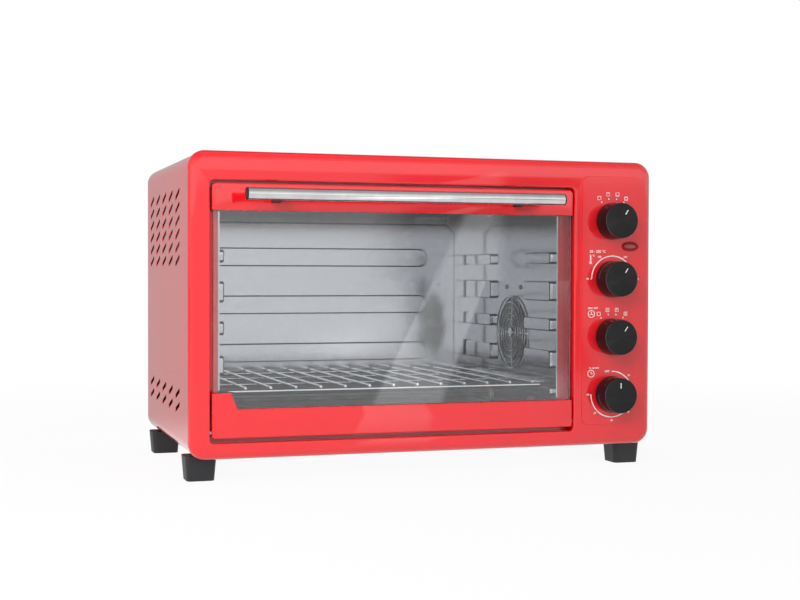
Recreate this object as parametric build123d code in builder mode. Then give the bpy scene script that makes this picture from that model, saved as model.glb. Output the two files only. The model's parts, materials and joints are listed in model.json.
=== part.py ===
# Countertop convection oven with a drop-down glass door and four rotary controls.
# X runs along the front from left to right, Y from the front to the back, Z up from the table.
# Depths are counted from the plane of the front face, positive into the oven.
# Places along X are counted from the left side, and heights from the table.

import os
from math import cos, radians, sin

from build123d import *

os.makedirs("parts", exist_ok=True)

# Casing
WIDTH = 540.0
FRAME_HEIGHT = 327.3
SHELL_DEPTH = 315.0
FOOT_HEIGHT = 25.0
SHEET = 0.8
CORNER_RADIUS = 18.0
FRONT_ROUND = 9.0
SKIRT_DEPTH = 11.0
SHELL_INSET = 1.3
SHELL_START = 9.5
SHELL_RETURN = 45.0

# Door recess in the front frame and the mouth of the cavity behind it
RECESS_LEFT, RECESS_RIGHT = 22.2, 441.9
RECESS_BOTTOM, RECESS_TOP = 42.8, 321.1
RECESS_DEPTH = 18.0
RECESS_CORNER = 5.0
MOUTH_LEFT, MOUTH_RIGHT = 34.0, 430.0
MOUTH_BOTTOM, MOUTH_TOP = 56.0, 308.0

# Cavity, inner faces
CAVITY_LEFT, CAVITY_RIGHT = 36.0, 428.0
CAVITY_FLOOR, CAVITY_CEILING = 52.0, 314.0
CAVITY_BACK = 300.0
RIB_REACH = 6.0
PRESS = 3.0
PRESSED_LEFT, PRESSED_RIGHT = 57.0, 407.0
PRESSED_BOTTOM, PRESSED_TOP = 66.0, 288.0
PRESSED_CUT = 12.0
BEAD_CENTRE, BEAD_LENGTH, BEAD_TALL = 221.0, 292.0, 24.0
BEAD_HEIGHTS = (120.6, 182.0, 243.0)
RIB_LEVELS = ((81.0, 92.0), (113.0, 134.0), (156.0, 171.0), (191.0, 214.0), (234.0, 248.0))

# Door
DOOR_LEFT, DOOR_RIGHT = 24.3, 440.2
DOOR_BOTTOM, DOOR_TOP = 47.6, 318.4
DOOR_THICKNESS = 14.0
UPPER_RAIL_HEIGHT = 29.1
LOWER_RAIL_HEIGHT = 30.8
TAB_TOP, TAB_WIDTH, TAB_FOOT = 96.0, 20.2, 27.2
GLASS_FRONT, GLASS_THICKNESS = 3.0, 4.0
GLASS_GRIP = 10.0
HINGE_DEPTH, HINGE_HEIGHT = 6.0, 54.0
PIN_RADIUS = 2.5

# Handle
HANDLE_RADIUS = 6.4
HANDLE_STANDOFF = 38.0
HANDLE_LEFT, HANDLE_RIGHT = 54.5, 410.0
HANDLE_HEIGHT = 305.0
BRACKET_PLACES = (92.5, 370.5)
BRACKET_WIDTH = 9.2

# Controls, from the top: what heats, how hot, fan on or off, how long
KNOB_X = 489.4
KNOB_HEIGHTS = (283.5, 217.0, 150.5, 84.0)
KNOB_NAMES = ("function", "thermostat", "mode", "timer")
POINTER_ANGLES = (33.0, 33.0, 33.0, 0.0)
KNOB_RADIUS, KNOB_FACE_RADIUS = 21.25, 19.75
KNOB_BACK, KNOB_FACE = -2.0, -25.0
SHAFT_RADIUS = 3.0
SHAFT_FLAT = 1.5
RUNNING = 0.05
PANEL_LEFT, PANEL_RIGHT = 451.0, 525.0
PANEL_BOTTOM, PANEL_TOP = 49.0, 335.0
PANEL_RAISE = 1.0
LAMP_X, LAMP_HEIGHT = 511.8, 254.6
LAMP_WIDTH, LAMP_TALL = 21.3, 11.2

# Circulation fan behind the right wall
FAN_DEPTH, FAN_HEIGHT = 148.0, 150.0
FAN_HOLE_RADIUS = 43.0
FAN_RADIUS = 34.0
FAN_CUP_DEPTH = 17.0
GUARD_RINGS = (44.5, 37.4, 30.3, 23.2, 16.1)
GUARD_WIRE, GUARD_SPOKE = 0.9, 1.1
GUARD_HUB = 6.5
SHIELD_X = 448.0
BLADES, BLADE_PITCH = 6, 38.0

# Wire rack
RACK_LEFT, RACK_RIGHT = 38.0, 426.0
RACK_FRONT, RACK_BACK = 27.5, 291.0
RACK_HEIGHT = 94.8
RACK_EDGE_RADIUS = 2.5
RACK_BAR_RADIUS = 1.5
RACK_BARS = 13
RACK_BAR_PITCH = 28.05
RACK_CENTRE = 234.4

# Heating rods
HEATER_RADIUS = 3.25
UPPER_HEATER_HEIGHT, LOWER_HEATER_HEIGHT = 303.5, 67.0
HEATER_DEPTHS = {"front": 90.0, "rear": 225.0}

# Side vents
VENT_LENGTH, VENT_HEIGHT, VENT_SLANT = 30.5, 5.0, -18.5
VENT_FIRST, VENT_PITCH, VENT_COLUMNS = 83.5, 48.0, 5
VENT_ROWS = [309.3 - 14.6 * row for row in range(6)] + [89.7, 74.7]

# Feet
FOOT_TOP, FOOT_BASE = 34.0, 29.7
FOOT_CENTRE_X = 17.4
FOOT_SCREW_X = 24.0
FOOT_DEPTHS = {"front": 41.0, "rear": 285.0}
FOOT_POCKET = 15.0

# Screws: pan heads with a cross recess
PAN_HEAD, PAN_SHANK = (2.8, 1.6), (1.5, 4.0)
PAN_TAPER = 15
CROSS_WIDTH, CROSS_DEPTH = 0.7, 0.9
SWITCH_SCREW_PITCH = 28.0
FAN_SCREWS = ((-24, 56), (20, 56))

# Worked out
GLAND_REACH = 8.0
HANDLE_REACH = HANDLE_STANDOFF + HANDLE_RADIUS
FRONT = HANDLE_REACH - (HANDLE_REACH + SHELL_DEPTH + GLAND_REACH) / 2
FRAME_MIDDLE = FOOT_HEIGHT + FRAME_HEIGHT / 2
RECESS_BACK = RECESS_DEPTH + SHEET


def x_at(from_left):
    """A place along X, counted from the left side of the casing."""
    return from_left - WIDTH / 2


def front_plane(depth, from_left=WIDTH / 2, height=0.0):
    """A plane that faces the user: sketch X is X, sketch Y is Z, and extrude comes forward."""
    return Plane(origin=(x_at(from_left), FRONT + depth, height), x_dir=(1, 0, 0), z_dir=(0, -1, 0))


def side_plane(from_left, depth=0.0, height=0.0):
    """A plane across X: sketch X is depth, sketch Y is Z, and extrude goes to the right."""
    return Plane(origin=(x_at(from_left), FRONT + depth, height), x_dir=(0, 1, 0), z_dir=(1, 0, 0))


def level_plane(height, from_left=WIDTH / 2, depth=0.0):
    """A level plane: sketch X is X, sketch Y is depth, and extrude goes up."""
    return Plane(origin=(x_at(from_left), FRONT + depth, height), x_dir=(1, 0, 0), z_dir=(0, 0, 1))


def axis_along_x(depth, height):
    return Axis((0, FRONT + depth, height), (1, 0, 0))


def axis_along_depth(from_left, height):
    return Axis((x_at(from_left), FRONT, height), (0, 1, 0))


def span(low, high):
    """The middle and the length of a stretch."""
    return (low + high) / 2, high - low


def save(piece, name):
    piece.part.label = name
    export_step(piece.part, f"parts/{name}.step")


def front_rectangle(left, right, bottom, top, radius=0.0):
    """A rectangle in a sketch on a front plane through the middle of the casing."""
    (x, width), (z, height) = span(left, right), span(bottom, top)
    with Locations((x_at(x), z)):
        if radius:
            RectangleRounded(width, height, radius)
        else:
            Rectangle(width, height)


def make_pressed_block(inset, back):
    """The rounded block inside the front frame's outline, smaller by inset on every side."""
    with BuildPart() as block:
        with BuildSketch(front_plane(inset)):
            front_rectangle(inset, WIDTH - inset, FOOT_HEIGHT + inset, FOOT_HEIGHT + FRAME_HEIGHT - inset,
                            CORNER_RADIUS - inset)
        extrude(amount=inset - back)
        fillet(block.faces().sort_by(Axis.Y)[0].edges(), FRONT_ROUND - inset)
    return block.part


# Casing: the front frame is one pressing with a rounded front, a skirt and the door's recess
def make_front_frame():
    hollow = make_pressed_block(SHEET, SKIRT_DEPTH + 1)
    with BuildPart() as frame:
        add(make_pressed_block(0, SKIRT_DEPTH))
        add(hollow, mode=Mode.SUBTRACT)

        # The recess is a tub that runs back from the face, with the cavity's mouth in its floor
        with BuildSketch(front_plane(RECESS_BACK)):
            front_rectangle(RECESS_LEFT - SHEET, RECESS_RIGHT + SHEET,
                            RECESS_BOTTOM - SHEET, RECESS_TOP + SHEET, RECESS_CORNER + SHEET)
        extrude(amount=RECESS_BACK - SHEET / 2)
        with BuildSketch(front_plane(RECESS_DEPTH)):
            front_rectangle(RECESS_LEFT, RECESS_RIGHT, RECESS_BOTTOM, RECESS_TOP, RECESS_CORNER)
        extrude(amount=RECESS_DEPTH + SHEET, mode=Mode.SUBTRACT)
        with BuildSketch(front_plane(RECESS_BACK)):
            front_rectangle(MOUTH_LEFT, MOUTH_RIGHT, MOUTH_BOTTOM, MOUTH_TOP, RECESS_CORNER)
        extrude(amount=RECESS_BACK, mode=Mode.SUBTRACT)

        # The control panel stands a little proud of the face, pressed out from behind
        with BuildSketch(front_plane(SHEET / 2)):
            front_rectangle(PANEL_LEFT, PANEL_RIGHT, PANEL_BOTTOM, PANEL_TOP, 9)
        extrude(amount=SHEET / 2 + PANEL_RAISE, taper=20)
        with BuildSketch(front_plane(SHEET)):
            front_rectangle(PANEL_LEFT + 2, PANEL_RIGHT - 2, PANEL_BOTTOM + 2, PANEL_TOP - 2, 7)
        extrude(amount=PANEL_RAISE, mode=Mode.SUBTRACT)

        # Holes for the shafts, their fixing screws, the lamp and the hinge pins
        with BuildSketch(front_plane(SHEET)):
            for height in KNOB_HEIGHTS:
                with Locations((x_at(KNOB_X), height)):
                    Circle(SHAFT_RADIUS + 1.5)
                    with GridLocations(SWITCH_SCREW_PITCH, 1, 2, 1):
                        Circle(1.6)
            with Locations((x_at(LAMP_X), LAMP_HEIGHT)):
                Ellipse(LAMP_WIDTH / 2 - 1.4, LAMP_TALL / 2 - 1.4)
        extrude(amount=SHEET + PANEL_RAISE + 1, mode=Mode.SUBTRACT)
        with BuildSketch(side_plane(RECESS_LEFT - 2 * SHEET, HINGE_DEPTH, HINGE_HEIGHT)):
            Circle(PIN_RADIUS + 0.6)
        extrude(amount=RECESS_RIGHT - RECESS_LEFT + 4 * SHEET, mode=Mode.SUBTRACT)

        lip = frame.edges().filter_by(lambda e: is_lip(e.center()))
        fillet(lip, 1.6)
    save(frame, "front_frame")


def is_lip(point):
    """True on the front edge of the door's recess."""
    from_left, depth = point.X + WIDTH / 2, point.Y - FRONT
    inside = RECESS_LEFT - 0.1 < from_left < RECESS_RIGHT + 0.1
    level = RECESS_BOTTOM - 0.1 < point.Z < RECESS_TOP + 0.1
    return inside and level and abs(depth) < 0.01


def make_outer_shell():
    inset_radius = CORNER_RADIUS - SHELL_INSET
    with BuildPart() as shell:
        with BuildSketch(front_plane(SHELL_START)):
            with Locations((0, FRAME_MIDDLE)):
                RectangleRounded(WIDTH - 2 * SHELL_INSET, FRAME_HEIGHT - 2 * SHELL_INSET, inset_radius)
                RectangleRounded(WIDTH - 2 * (SHELL_INSET + SHEET), FRAME_HEIGHT - 2 * (SHELL_INSET + SHEET),
                                 inset_radius - SHEET, mode=Mode.SUBTRACT)
        extrude(amount=SHELL_START - SHELL_DEPTH)
        with BuildSketch(front_plane(0)):
            front_rectangle(SHELL_RETURN, WIDTH - SHELL_RETURN, FOOT_HEIGHT, FOOT_HEIGHT + 5)
        extrude(amount=-SHELL_DEPTH, mode=Mode.SUBTRACT)

        # Slanted vents through both sides
        with BuildSketch(side_plane(WIDTH / 2)):
            places = [(VENT_FIRST + VENT_PITCH * column, row)
                      for column in range(VENT_COLUMNS) for row in VENT_ROWS]
            with Locations(*places):
                SlotOverall(VENT_LENGTH, VENT_HEIGHT, rotation=VENT_SLANT)
        extrude(amount=WIDTH, both=True, mode=Mode.SUBTRACT)

        # Screw holes for the feet
        with BuildSketch(level_plane(FOOT_HEIGHT)):
            with Locations(*foot_places()):
                Circle(2.2)
        extrude(amount=5, mode=Mode.SUBTRACT)
    save(shell, "outer_shell")


def foot_places():
    """Foot screws as sketch points on a level plane through the middle of the casing."""
    reach = WIDTH / 2 - FOOT_SCREW_X
    return [(side * reach, depth) for side in (-1, 1) for depth in FOOT_DEPTHS.values()]


REAR_INSET = SHELL_INSET + SHEET + 0.3
REAR_COVER_DEPTH = SHELL_DEPTH - 3.0
REAR_SCREWS = [(x, z) for x in (14, WIDTH / 2, WIDTH - 14) for z in (45, 333)]
GLAND_X, GLAND_HEIGHT = 492.0, 62.0


def make_rear_cover():
    with BuildPart() as cover:
        with BuildSketch(front_plane(REAR_COVER_DEPTH)):
            with Locations((0, FRAME_MIDDLE)):
                RectangleRounded(WIDTH - 2 * REAR_INSET, FRAME_HEIGHT - 2 * REAR_INSET,
                                 CORNER_RADIUS - REAR_INSET)
        extrude(amount=8)
        offset(amount=-SHEET, openings=cover.faces().sort_by(Axis.Y)[0])
        with BuildSketch(front_plane(REAR_COVER_DEPTH)):
            with Locations((0, FRAME_MIDDLE)):
                RectangleRounded(380, 210, 12)
        extrude(amount=-1.5, taper=30)
        with BuildSketch(front_plane(REAR_COVER_DEPTH - SHEET)):
            with Locations((0, FRAME_MIDDLE)):
                RectangleRounded(376, 206, 10)
        extrude(amount=-1.5, taper=30, mode=Mode.SUBTRACT)
        with BuildSketch(front_plane(REAR_COVER_DEPTH + 2)):
            with Locations((0, FRAME_MIDDLE + 60)):
                with GridLocations(30, 14, 10, 4):
                    SlotOverall(22, 4, rotation=VENT_SLANT)
            with Locations((x_at(GLAND_X), GLAND_HEIGHT)):
                Circle(8)
            with Locations(*[(x_at(x), z) for x, z in REAR_SCREWS]):
                Circle(1.8)
        extrude(amount=20, mode=Mode.SUBTRACT)
    save(cover, "rear_cover")


BASE_LEVEL = FOOT_HEIGHT + SHELL_INSET + SHEET


def make_base_plate():
    with BuildPart() as plate:
        (depth, length) = span(SHELL_START, REAR_COVER_DEPTH - 8.5)
        with BuildSketch(level_plane(BASE_LEVEL, depth=depth)):
            RectangleRounded(WIDTH - 2 * CORNER_RADIUS - 1, length, 2)
            with Locations((-60, 0)):
                with GridLocations(44, 90, 7, 2):
                    SlotOverall(36, 5, rotation=90, mode=Mode.SUBTRACT)
        extrude(amount=SHEET)
        with BuildSketch(level_plane(BASE_LEVEL)):
            with Locations(*foot_places()):
                Circle(2.2)
        extrude(amount=SHEET, mode=Mode.SUBTRACT)
    save(plate, "base_plate")


def make_feet():
    for side in ("left", "right"):
        from_left = FOOT_CENTRE_X if side == "left" else WIDTH - FOOT_CENTRE_X
        for row, depth in FOOT_DEPTHS.items():
            with BuildPart() as foot:
                with BuildSketch(level_plane(0, from_left, depth)):
                    RectangleRounded(FOOT_BASE, FOOT_BASE, 5)
                with BuildSketch(level_plane(FOOT_HEIGHT + SHELL_INSET, from_left, depth)):
                    RectangleRounded(FOOT_TOP, FOOT_TOP, 6)
                loft()
                with BuildSketch(level_plane(0)):
                    with Locations(*foot_places()):
                        Circle(5)
                extrude(amount=FOOT_POCKET, mode=Mode.SUBTRACT)
                with BuildSketch(level_plane(0)):
                    with Locations(*foot_places()):
                        Circle(2.2)
                extrude(amount=FOOT_HEIGHT + 5, mode=Mode.SUBTRACT)
            save(foot, f"foot_{row}_{side}")

    with BuildPart() as screws:
        with BuildSketch(level_plane(FOOT_POCKET)):
            with Locations(*foot_places()):
                Circle(4)
        extrude(amount=-2.4, taper=PAN_TAPER)
        crosses = make_crosses(level_plane(FOOT_POCKET - 2.4), foot_places(), 3.6)
        extrude(crosses, amount=CROSS_DEPTH, mode=Mode.SUBTRACT)
        with BuildSketch(level_plane(FOOT_POCKET)):
            with Locations(*foot_places()):
                Circle(2)
        extrude(amount=BASE_LEVEL + SHEET + 1.5 - FOOT_POCKET)
    save(screws, "foot_screws")


def make_crosses(plane, places, across):
    """The cross recesses of screw heads whose tops lie on a plane."""
    with BuildSketch(plane) as crosses:
        with Locations(*places):
            Rectangle(across, CROSS_WIDTH)
            Rectangle(CROSS_WIDTH, across)
    return crosses.sketch


# Cavity: five galvanised panels, the side walls ribbed to carry the rack
def make_side_wall(name, inner, outward, rib_spans):
    """A ribbed side wall whose inner face is at inner; outward is 1 to the right, -1 to the left."""
    heaters = [(depth, height) for depth in HEATER_DEPTHS.values()
               for height in (LOWER_HEATER_HEIGHT, UPPER_HEATER_HEIGHT)]
    wall_height = CAVITY_CEILING - CAVITY_FLOOR + 2 * SHEET
    with BuildPart() as wall:
        middle, length = span(RECESS_BACK, CAVITY_BACK + SHEET)
        with BuildSketch(side_plane(inner, middle, CAVITY_FLOOR - SHEET + wall_height / 2)):
            Rectangle(length, wall_height)
        extrude(amount=outward * SHEET)
        with BuildSketch(side_plane(inner, RECESS_BACK + SHEET / 2, CAVITY_FLOOR - SHEET + wall_height / 2)):
            Rectangle(SHEET, wall_height)
        extrude(amount=outward * 9)
        for start, end in rib_spans:
            middle, length = span(start, end)
            with BuildSketch(side_plane(inner)):
                for low, high in RIB_LEVELS:
                    with Locations((middle, (low + high) / 2)):
                        RectangleRounded(length, high - low, 4)
            extrude(amount=-outward * RIB_REACH)
        crests = wall.faces().filter_by(Axis.X).filter_by(
            lambda f: abs(f.center().X - x_at(inner - outward * RIB_REACH)) < 0.01)
        fillet(crests.edges(), 2 * SHEET)

        # The ribs are pressed, so each is hollow from behind
        for start, end in rib_spans:
            middle, length = span(start, end)
            with BuildSketch(side_plane(inner + outward * SHEET)):
                for low, high in RIB_LEVELS:
                    with Locations((middle, (low + high) / 2)):
                        RectangleRounded(length - 2 * SHEET, high - low - 2 * SHEET, 4 - SHEET)
            extrude(amount=-outward * RIB_REACH, mode=Mode.SUBTRACT)
        with BuildSketch(side_plane(inner)):
            with Locations(*heaters):
                Circle(6.6)
        extrude(amount=outward * SHEET, mode=Mode.SUBTRACT)
        if outward > 0:
            with BuildSketch(side_plane(inner, FAN_DEPTH, FAN_HEIGHT)):
                Circle(FAN_HOLE_RADIUS)
                with Locations(*FAN_SCREWS):
                    Circle(1.7)
            extrude(amount=SHEET, mode=Mode.SUBTRACT)
    save(wall, name)


def make_cavity():
    full = [(24, CAVITY_BACK - 4)]
    make_side_wall("cavity_left_wall", CAVITY_LEFT, -1, full)
    make_side_wall("cavity_right_wall", CAVITY_RIGHT, 1, [(24, 100), (208, CAVITY_BACK - 4)])

    for name, level in (("cavity_floor", CAVITY_FLOOR - SHEET), ("cavity_ceiling", CAVITY_CEILING)):
        drop = -1 if name == "cavity_floor" else 1
        with BuildPart() as panel:
            (x, width), (depth, length) = span(CAVITY_LEFT, CAVITY_RIGHT), span(RECESS_BACK, CAVITY_BACK)
            with BuildSketch(level_plane(level, x, depth)):
                Rectangle(width, length)
            extrude(amount=SHEET)
            with BuildSketch(level_plane(level, x, RECESS_BACK + SHEET / 2)):
                Rectangle(width, SHEET)
            extrude(amount=drop * 6)
        save(panel, name)

    with BuildPart() as back:
        with BuildSketch(front_plane(CAVITY_BACK)):
            front_rectangle(CAVITY_LEFT, CAVITY_RIGHT, CAVITY_FLOOR - SHEET, CAVITY_CEILING + SHEET)
        extrude(amount=-SHEET)

        # A raised middle with three beads on it, pressed out of the sheet from behind
        for level, mode in ((CAVITY_BACK, Mode.ADD), (CAVITY_BACK + SHEET, Mode.SUBTRACT)):
            with BuildSketch(front_plane(level)):
                with BuildLine():
                    Polyline(*pressed_panel_corners(), close=True)
                make_face()
            extrude(amount=PRESS, taper=35, mode=mode)
            with BuildSketch(front_plane(level - PRESS)):
                with Locations(*[(x_at(BEAD_CENTRE), height) for height in BEAD_HEIGHTS]):
                    SlotOverall(BEAD_LENGTH, BEAD_TALL)
            extrude(amount=PRESS, taper=30, mode=mode)
    save(back, "cavity_rear_wall")


def pressed_panel_corners():
    """The raised middle of the rear wall, with cut upper corners."""
    left, right, shoulder = x_at(PRESSED_LEFT), x_at(PRESSED_RIGHT), PRESSED_TOP - PRESSED_CUT
    return [(left, PRESSED_BOTTOM), (right, PRESSED_BOTTOM), (right, shoulder),
            (right - PRESSED_CUT, PRESSED_TOP), (left + PRESSED_CUT, PRESSED_TOP), (left, shoulder)]


def make_heat_shield():
    with BuildPart() as shield:
        with BuildSketch(side_plane(SHIELD_X)):
            (depth, length), (height, tall) = span(24, 302), span(BASE_LEVEL + SHEET, 346)
            with Locations((depth, height)):
                Rectangle(length, tall)
            with Locations((FAN_DEPTH, FAN_HEIGHT)):
                Circle(9, mode=Mode.SUBTRACT)
            with Locations((150, 318), (110, 318), (70, 318)):
                SlotOverall(28, 6, mode=Mode.SUBTRACT)
        extrude(amount=SHEET)
        with BuildSketch(side_plane(SHIELD_X)):
            (depth, length) = span(24, 302)
            with Locations((depth, BASE_LEVEL + 1.5 * SHEET)):
                Rectangle(length, SHEET)
        extrude(amount=12)
    save(shield, "heat_shield")


# Heating rods run from wall to wall in ceramic bushes
def make_heaters():
    left, right = CAVITY_LEFT - 14, CAVITY_RIGHT + 14
    levels = {"upper": UPPER_HEATER_HEIGHT, "lower": LOWER_HEATER_HEIGHT}
    for level, height in levels.items():
        for row, depth in HEATER_DEPTHS.items():
            with BuildPart() as rod:
                with BuildSketch(side_plane(left, depth, height)):
                    Circle(HEATER_RADIUS)
                extrude(amount=right - left)
                with BuildSketch(side_plane(left, depth, height)):
                    Circle(1.5)
                extrude(amount=-4)
                with BuildSketch(side_plane(right, depth, height)):
                    Circle(1.5)
                extrude(amount=4)
            save(rod, f"{level}_heater_{row}")

    with BuildPart() as bushes:
        for inner, outward in ((CAVITY_LEFT, -1), (CAVITY_RIGHT, 1)):
            places = [(d, h) for d in HEATER_DEPTHS.values() for h in levels.values()]
            for start, length, radius in ((-3, 3, 8.5), (0, SHEET, 6.5), (SHEET, 8, 8.5)):
                with BuildSketch(side_plane(inner + outward * start)):
                    with Locations(*places):
                        Circle(radius)
                        Circle(HEATER_RADIUS + 0.02, mode=Mode.SUBTRACT)
                extrude(amount=outward * length)
    save(bushes, "heater_bushes")


def make_crumb_tray():
    (x, width), (depth, length) = span(CAVITY_LEFT + 8, CAVITY_RIGHT - 8), span(24, 290)
    with BuildPart() as tray:
        for level, inset, mode in ((0, 0, Mode.ADD), (SHEET, 2 * SHEET, Mode.SUBTRACT)):
            with BuildSketch(level_plane(CAVITY_FLOOR + level, x, depth)):
                RectangleRounded(width - 6 - inset, length - 6 - inset, 6)
            extrude(amount=8, taper=-20, mode=mode)
        with BuildSketch(level_plane(CAVITY_FLOOR + 8, x, 25)):
            RectangleRounded(120, 8, 2)
        extrude(amount=-SHEET)
    save(tray, "crumb_tray")


# The fan's guard: wire rings welded in front of two crossed spokes, with a pressed boss in the middle
def make_fan_grille():
    spoke_x = CAVITY_RIGHT - GUARD_SPOKE + 0.05
    ring_x = spoke_x - GUARD_SPOKE - GUARD_WIRE + 0.3
    reach = GUARD_RINGS[0] + GUARD_WIRE
    with BuildPart() as grille:
        with BuildSketch(level_plane(FAN_HEIGHT - reach, spoke_x, FAN_DEPTH)):
            Circle(GUARD_SPOKE)
        extrude(amount=2 * reach)
        with BuildSketch(front_plane(FAN_DEPTH + reach, spoke_x, FAN_HEIGHT)):
            Circle(GUARD_SPOKE)
        extrude(amount=2 * reach)
        with BuildSketch(front_plane(FAN_DEPTH, ring_x, FAN_HEIGHT)):
            with Locations(*[(0, radius) for radius in GUARD_RINGS]):
                Circle(GUARD_WIRE)
        revolve(axis=axis_along_x(FAN_DEPTH, FAN_HEIGHT))
        with BuildSketch(side_plane(spoke_x, FAN_DEPTH, FAN_HEIGHT)):
            Circle(GUARD_HUB)
        extrude(amount=ring_x - spoke_x - GUARD_WIRE)
        fillet(grille.faces().filter_by(Axis.X).sort_by(Axis.X)[0].edges(), 1.0)
    save(grille, "fan_grille")


# Fan: cup, motor, and the turning shaft with its blades
def make_fan():
    cup_radius = FAN_HOLE_RADIUS + 2
    with BuildPart() as cup:
        with BuildSketch(side_plane(CAVITY_RIGHT + SHEET, FAN_DEPTH, FAN_HEIGHT)):
            Circle(cup_radius)
        extrude(amount=FAN_CUP_DEPTH)
        fillet(cup.faces().sort_by(Axis.X)[-1].edges(), 4)
        offset(amount=-SHEET, openings=cup.faces().sort_by(Axis.X)[0])
        with BuildSketch(side_plane(CAVITY_RIGHT + SHEET, FAN_DEPTH, FAN_HEIGHT)):
            Circle(cup_radius + 7)
            Circle(cup_radius - SHEET, mode=Mode.SUBTRACT)
        extrude(amount=SHEET)
        with BuildSketch(side_plane(CAVITY_RIGHT, FAN_DEPTH, FAN_HEIGHT)):
            Circle(6)
        extrude(amount=FAN_CUP_DEPTH + 5, mode=Mode.SUBTRACT)
    save(cup, "fan_cup")

    with BuildPart() as motor:
        with BuildSketch(side_plane(SHIELD_X + SHEET, FAN_DEPTH, FAN_HEIGHT)):
            SlotOverall(74, 22)
            with GridLocations(60, 1, 2, 1):
                Circle(2, mode=Mode.SUBTRACT)
        extrude(amount=1.5)
        with BuildSketch(side_plane(SHIELD_X + SHEET, FAN_DEPTH, FAN_HEIGHT)):
            Circle(8.5)
        extrude(amount=-2.9)
        with BuildSketch(side_plane(SHIELD_X + SHEET + 1.5, FAN_DEPTH, FAN_HEIGHT)):
            RectangleRounded(52, 44, 4)
        extrude(amount=18)
        with BuildSketch(side_plane(SHIELD_X + SHEET + 3, FAN_DEPTH, FAN_HEIGHT + 32)):
            RectangleRounded(34, 20, 5)
        extrude(amount=15)
        with BuildSketch(side_plane(SHIELD_X + SHEET + 19.5, FAN_DEPTH, FAN_HEIGHT)):
            SlotOverall(40, 16)
        extrude(amount=4)
        with BuildSketch(side_plane(SHIELD_X - 10, FAN_DEPTH, FAN_HEIGHT)):
            Circle(PIN_RADIUS + RUNNING)
        extrude(amount=30, mode=Mode.SUBTRACT)
    save(motor, "fan_motor")

    with BuildPart() as shaft:
        with BuildSketch(side_plane(CAVITY_RIGHT + SHEET + 2, FAN_DEPTH, FAN_HEIGHT)):
            Circle(PIN_RADIUS)
        extrude(amount=SHIELD_X + 18 - CAVITY_RIGHT - SHEET - 2)
    save(shaft, "fan_shaft")

    hub_start = CAVITY_RIGHT + SHEET + 3
    with BuildPart() as blade:
        with BuildSketch(side_plane(hub_start, FAN_DEPTH, FAN_HEIGHT)):
            Circle(6)
        extrude(amount=9)
        with BuildSketch(side_plane(hub_start + 4, FAN_DEPTH, FAN_HEIGHT)):
            Circle(13)
        extrude(amount=1)
        for turn in range(BLADES):
            with BuildSketch(fan_blade_plane(hub_start + 4.5, 360 / BLADES * turn)):
                with BuildLine():
                    Polyline((7, -0.5), (12, -3.5), (FAN_RADIUS, -4), (FAN_RADIUS, 4), (12, 3.5), (7, 0.5),
                             close=True)
                make_face()
            extrude(amount=0.5, both=True)
        with BuildSketch(side_plane(hub_start, FAN_DEPTH, FAN_HEIGHT)):
            Circle(PIN_RADIUS + 0.01)
        extrude(amount=9, mode=Mode.SUBTRACT)
    save(blade, "fan_blade")


def fan_blade_plane(from_left, turn):
    """A plane along one pitched blade: sketch X runs out from the hub."""
    out = (0, cos(radians(turn)), sin(radians(turn)))
    around = (0, -sin(radians(turn)), cos(radians(turn)))
    pitch = radians(BLADE_PITCH)
    normal = (cos(pitch), sin(pitch) * around[1], sin(pitch) * around[2])
    return Plane(origin=(x_at(from_left), FRONT + FAN_DEPTH, FAN_HEIGHT), x_dir=out, z_dir=normal)


def make_rack():
    edge, bar = RACK_EDGE_RADIUS, RACK_BAR_RADIUS
    bend = 14.0
    (x, width), (depth, length) = span(RACK_LEFT, RACK_RIGHT), span(RACK_FRONT, RACK_BACK)
    with BuildSketch(level_plane(RACK_HEIGHT, x, depth)) as outline:
        RectangleRounded(width - 2 * edge, length - 2 * edge, bend)
    loop = outline.sketch.wires()[0]
    with BuildPart() as rack:
        with BuildSketch(Plane(origin=loop @ 0, z_dir=loop % 0)):
            Circle(edge)
        sweep(path=loop)
        first = RACK_CENTRE - RACK_BAR_PITCH * (RACK_BARS - 1) / 2
        bars = [(x_at(first + RACK_BAR_PITCH * i), RACK_HEIGHT + edge + bar - 0.6) for i in range(RACK_BARS)]
        with BuildSketch(front_plane(RACK_FRONT + 0.8)):
            with Locations(*bars):
                Circle(bar)
        extrude(amount=-(RACK_BACK - RACK_FRONT - 1.6))
        for depth in (115.0, 204.0):
            with BuildSketch(side_plane(RACK_LEFT + edge, depth, RACK_HEIGHT + edge - bar - 0.4)):
                Circle(bar + 0.2)
            extrude(amount=RACK_RIGHT - RACK_LEFT - 2 * edge)
    save(rack, "wire_rack")


# Door: two pressed rails that grip the glass, with the hinge pins in the lower one
def make_rail(bottom, height, open_side):
    """A hollow rail with rounded front edges, open on its top or bottom."""
    with BuildPart() as rail:
        with BuildSketch(front_plane(DOOR_THICKNESS)):
            front_rectangle(DOOR_LEFT, DOOR_RIGHT, bottom, bottom + height)
        extrude(amount=DOOR_THICKNESS)
        corners = rail.edges().filter_by(Axis.Y).group_by(Axis.Z)[-1 if open_side < 0 else 0]
        fillet(corners, 5 if open_side < 0 else 3)
        fillet(rail.faces().sort_by(Axis.Y)[0].edges().group_by(Axis.Z)[-1 if open_side < 0 else 0], 2)
        offset(amount=-SHEET, openings=rail.faces().sort_by(Axis.Z)[0 if open_side < 0 else -1])
    return rail


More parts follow.
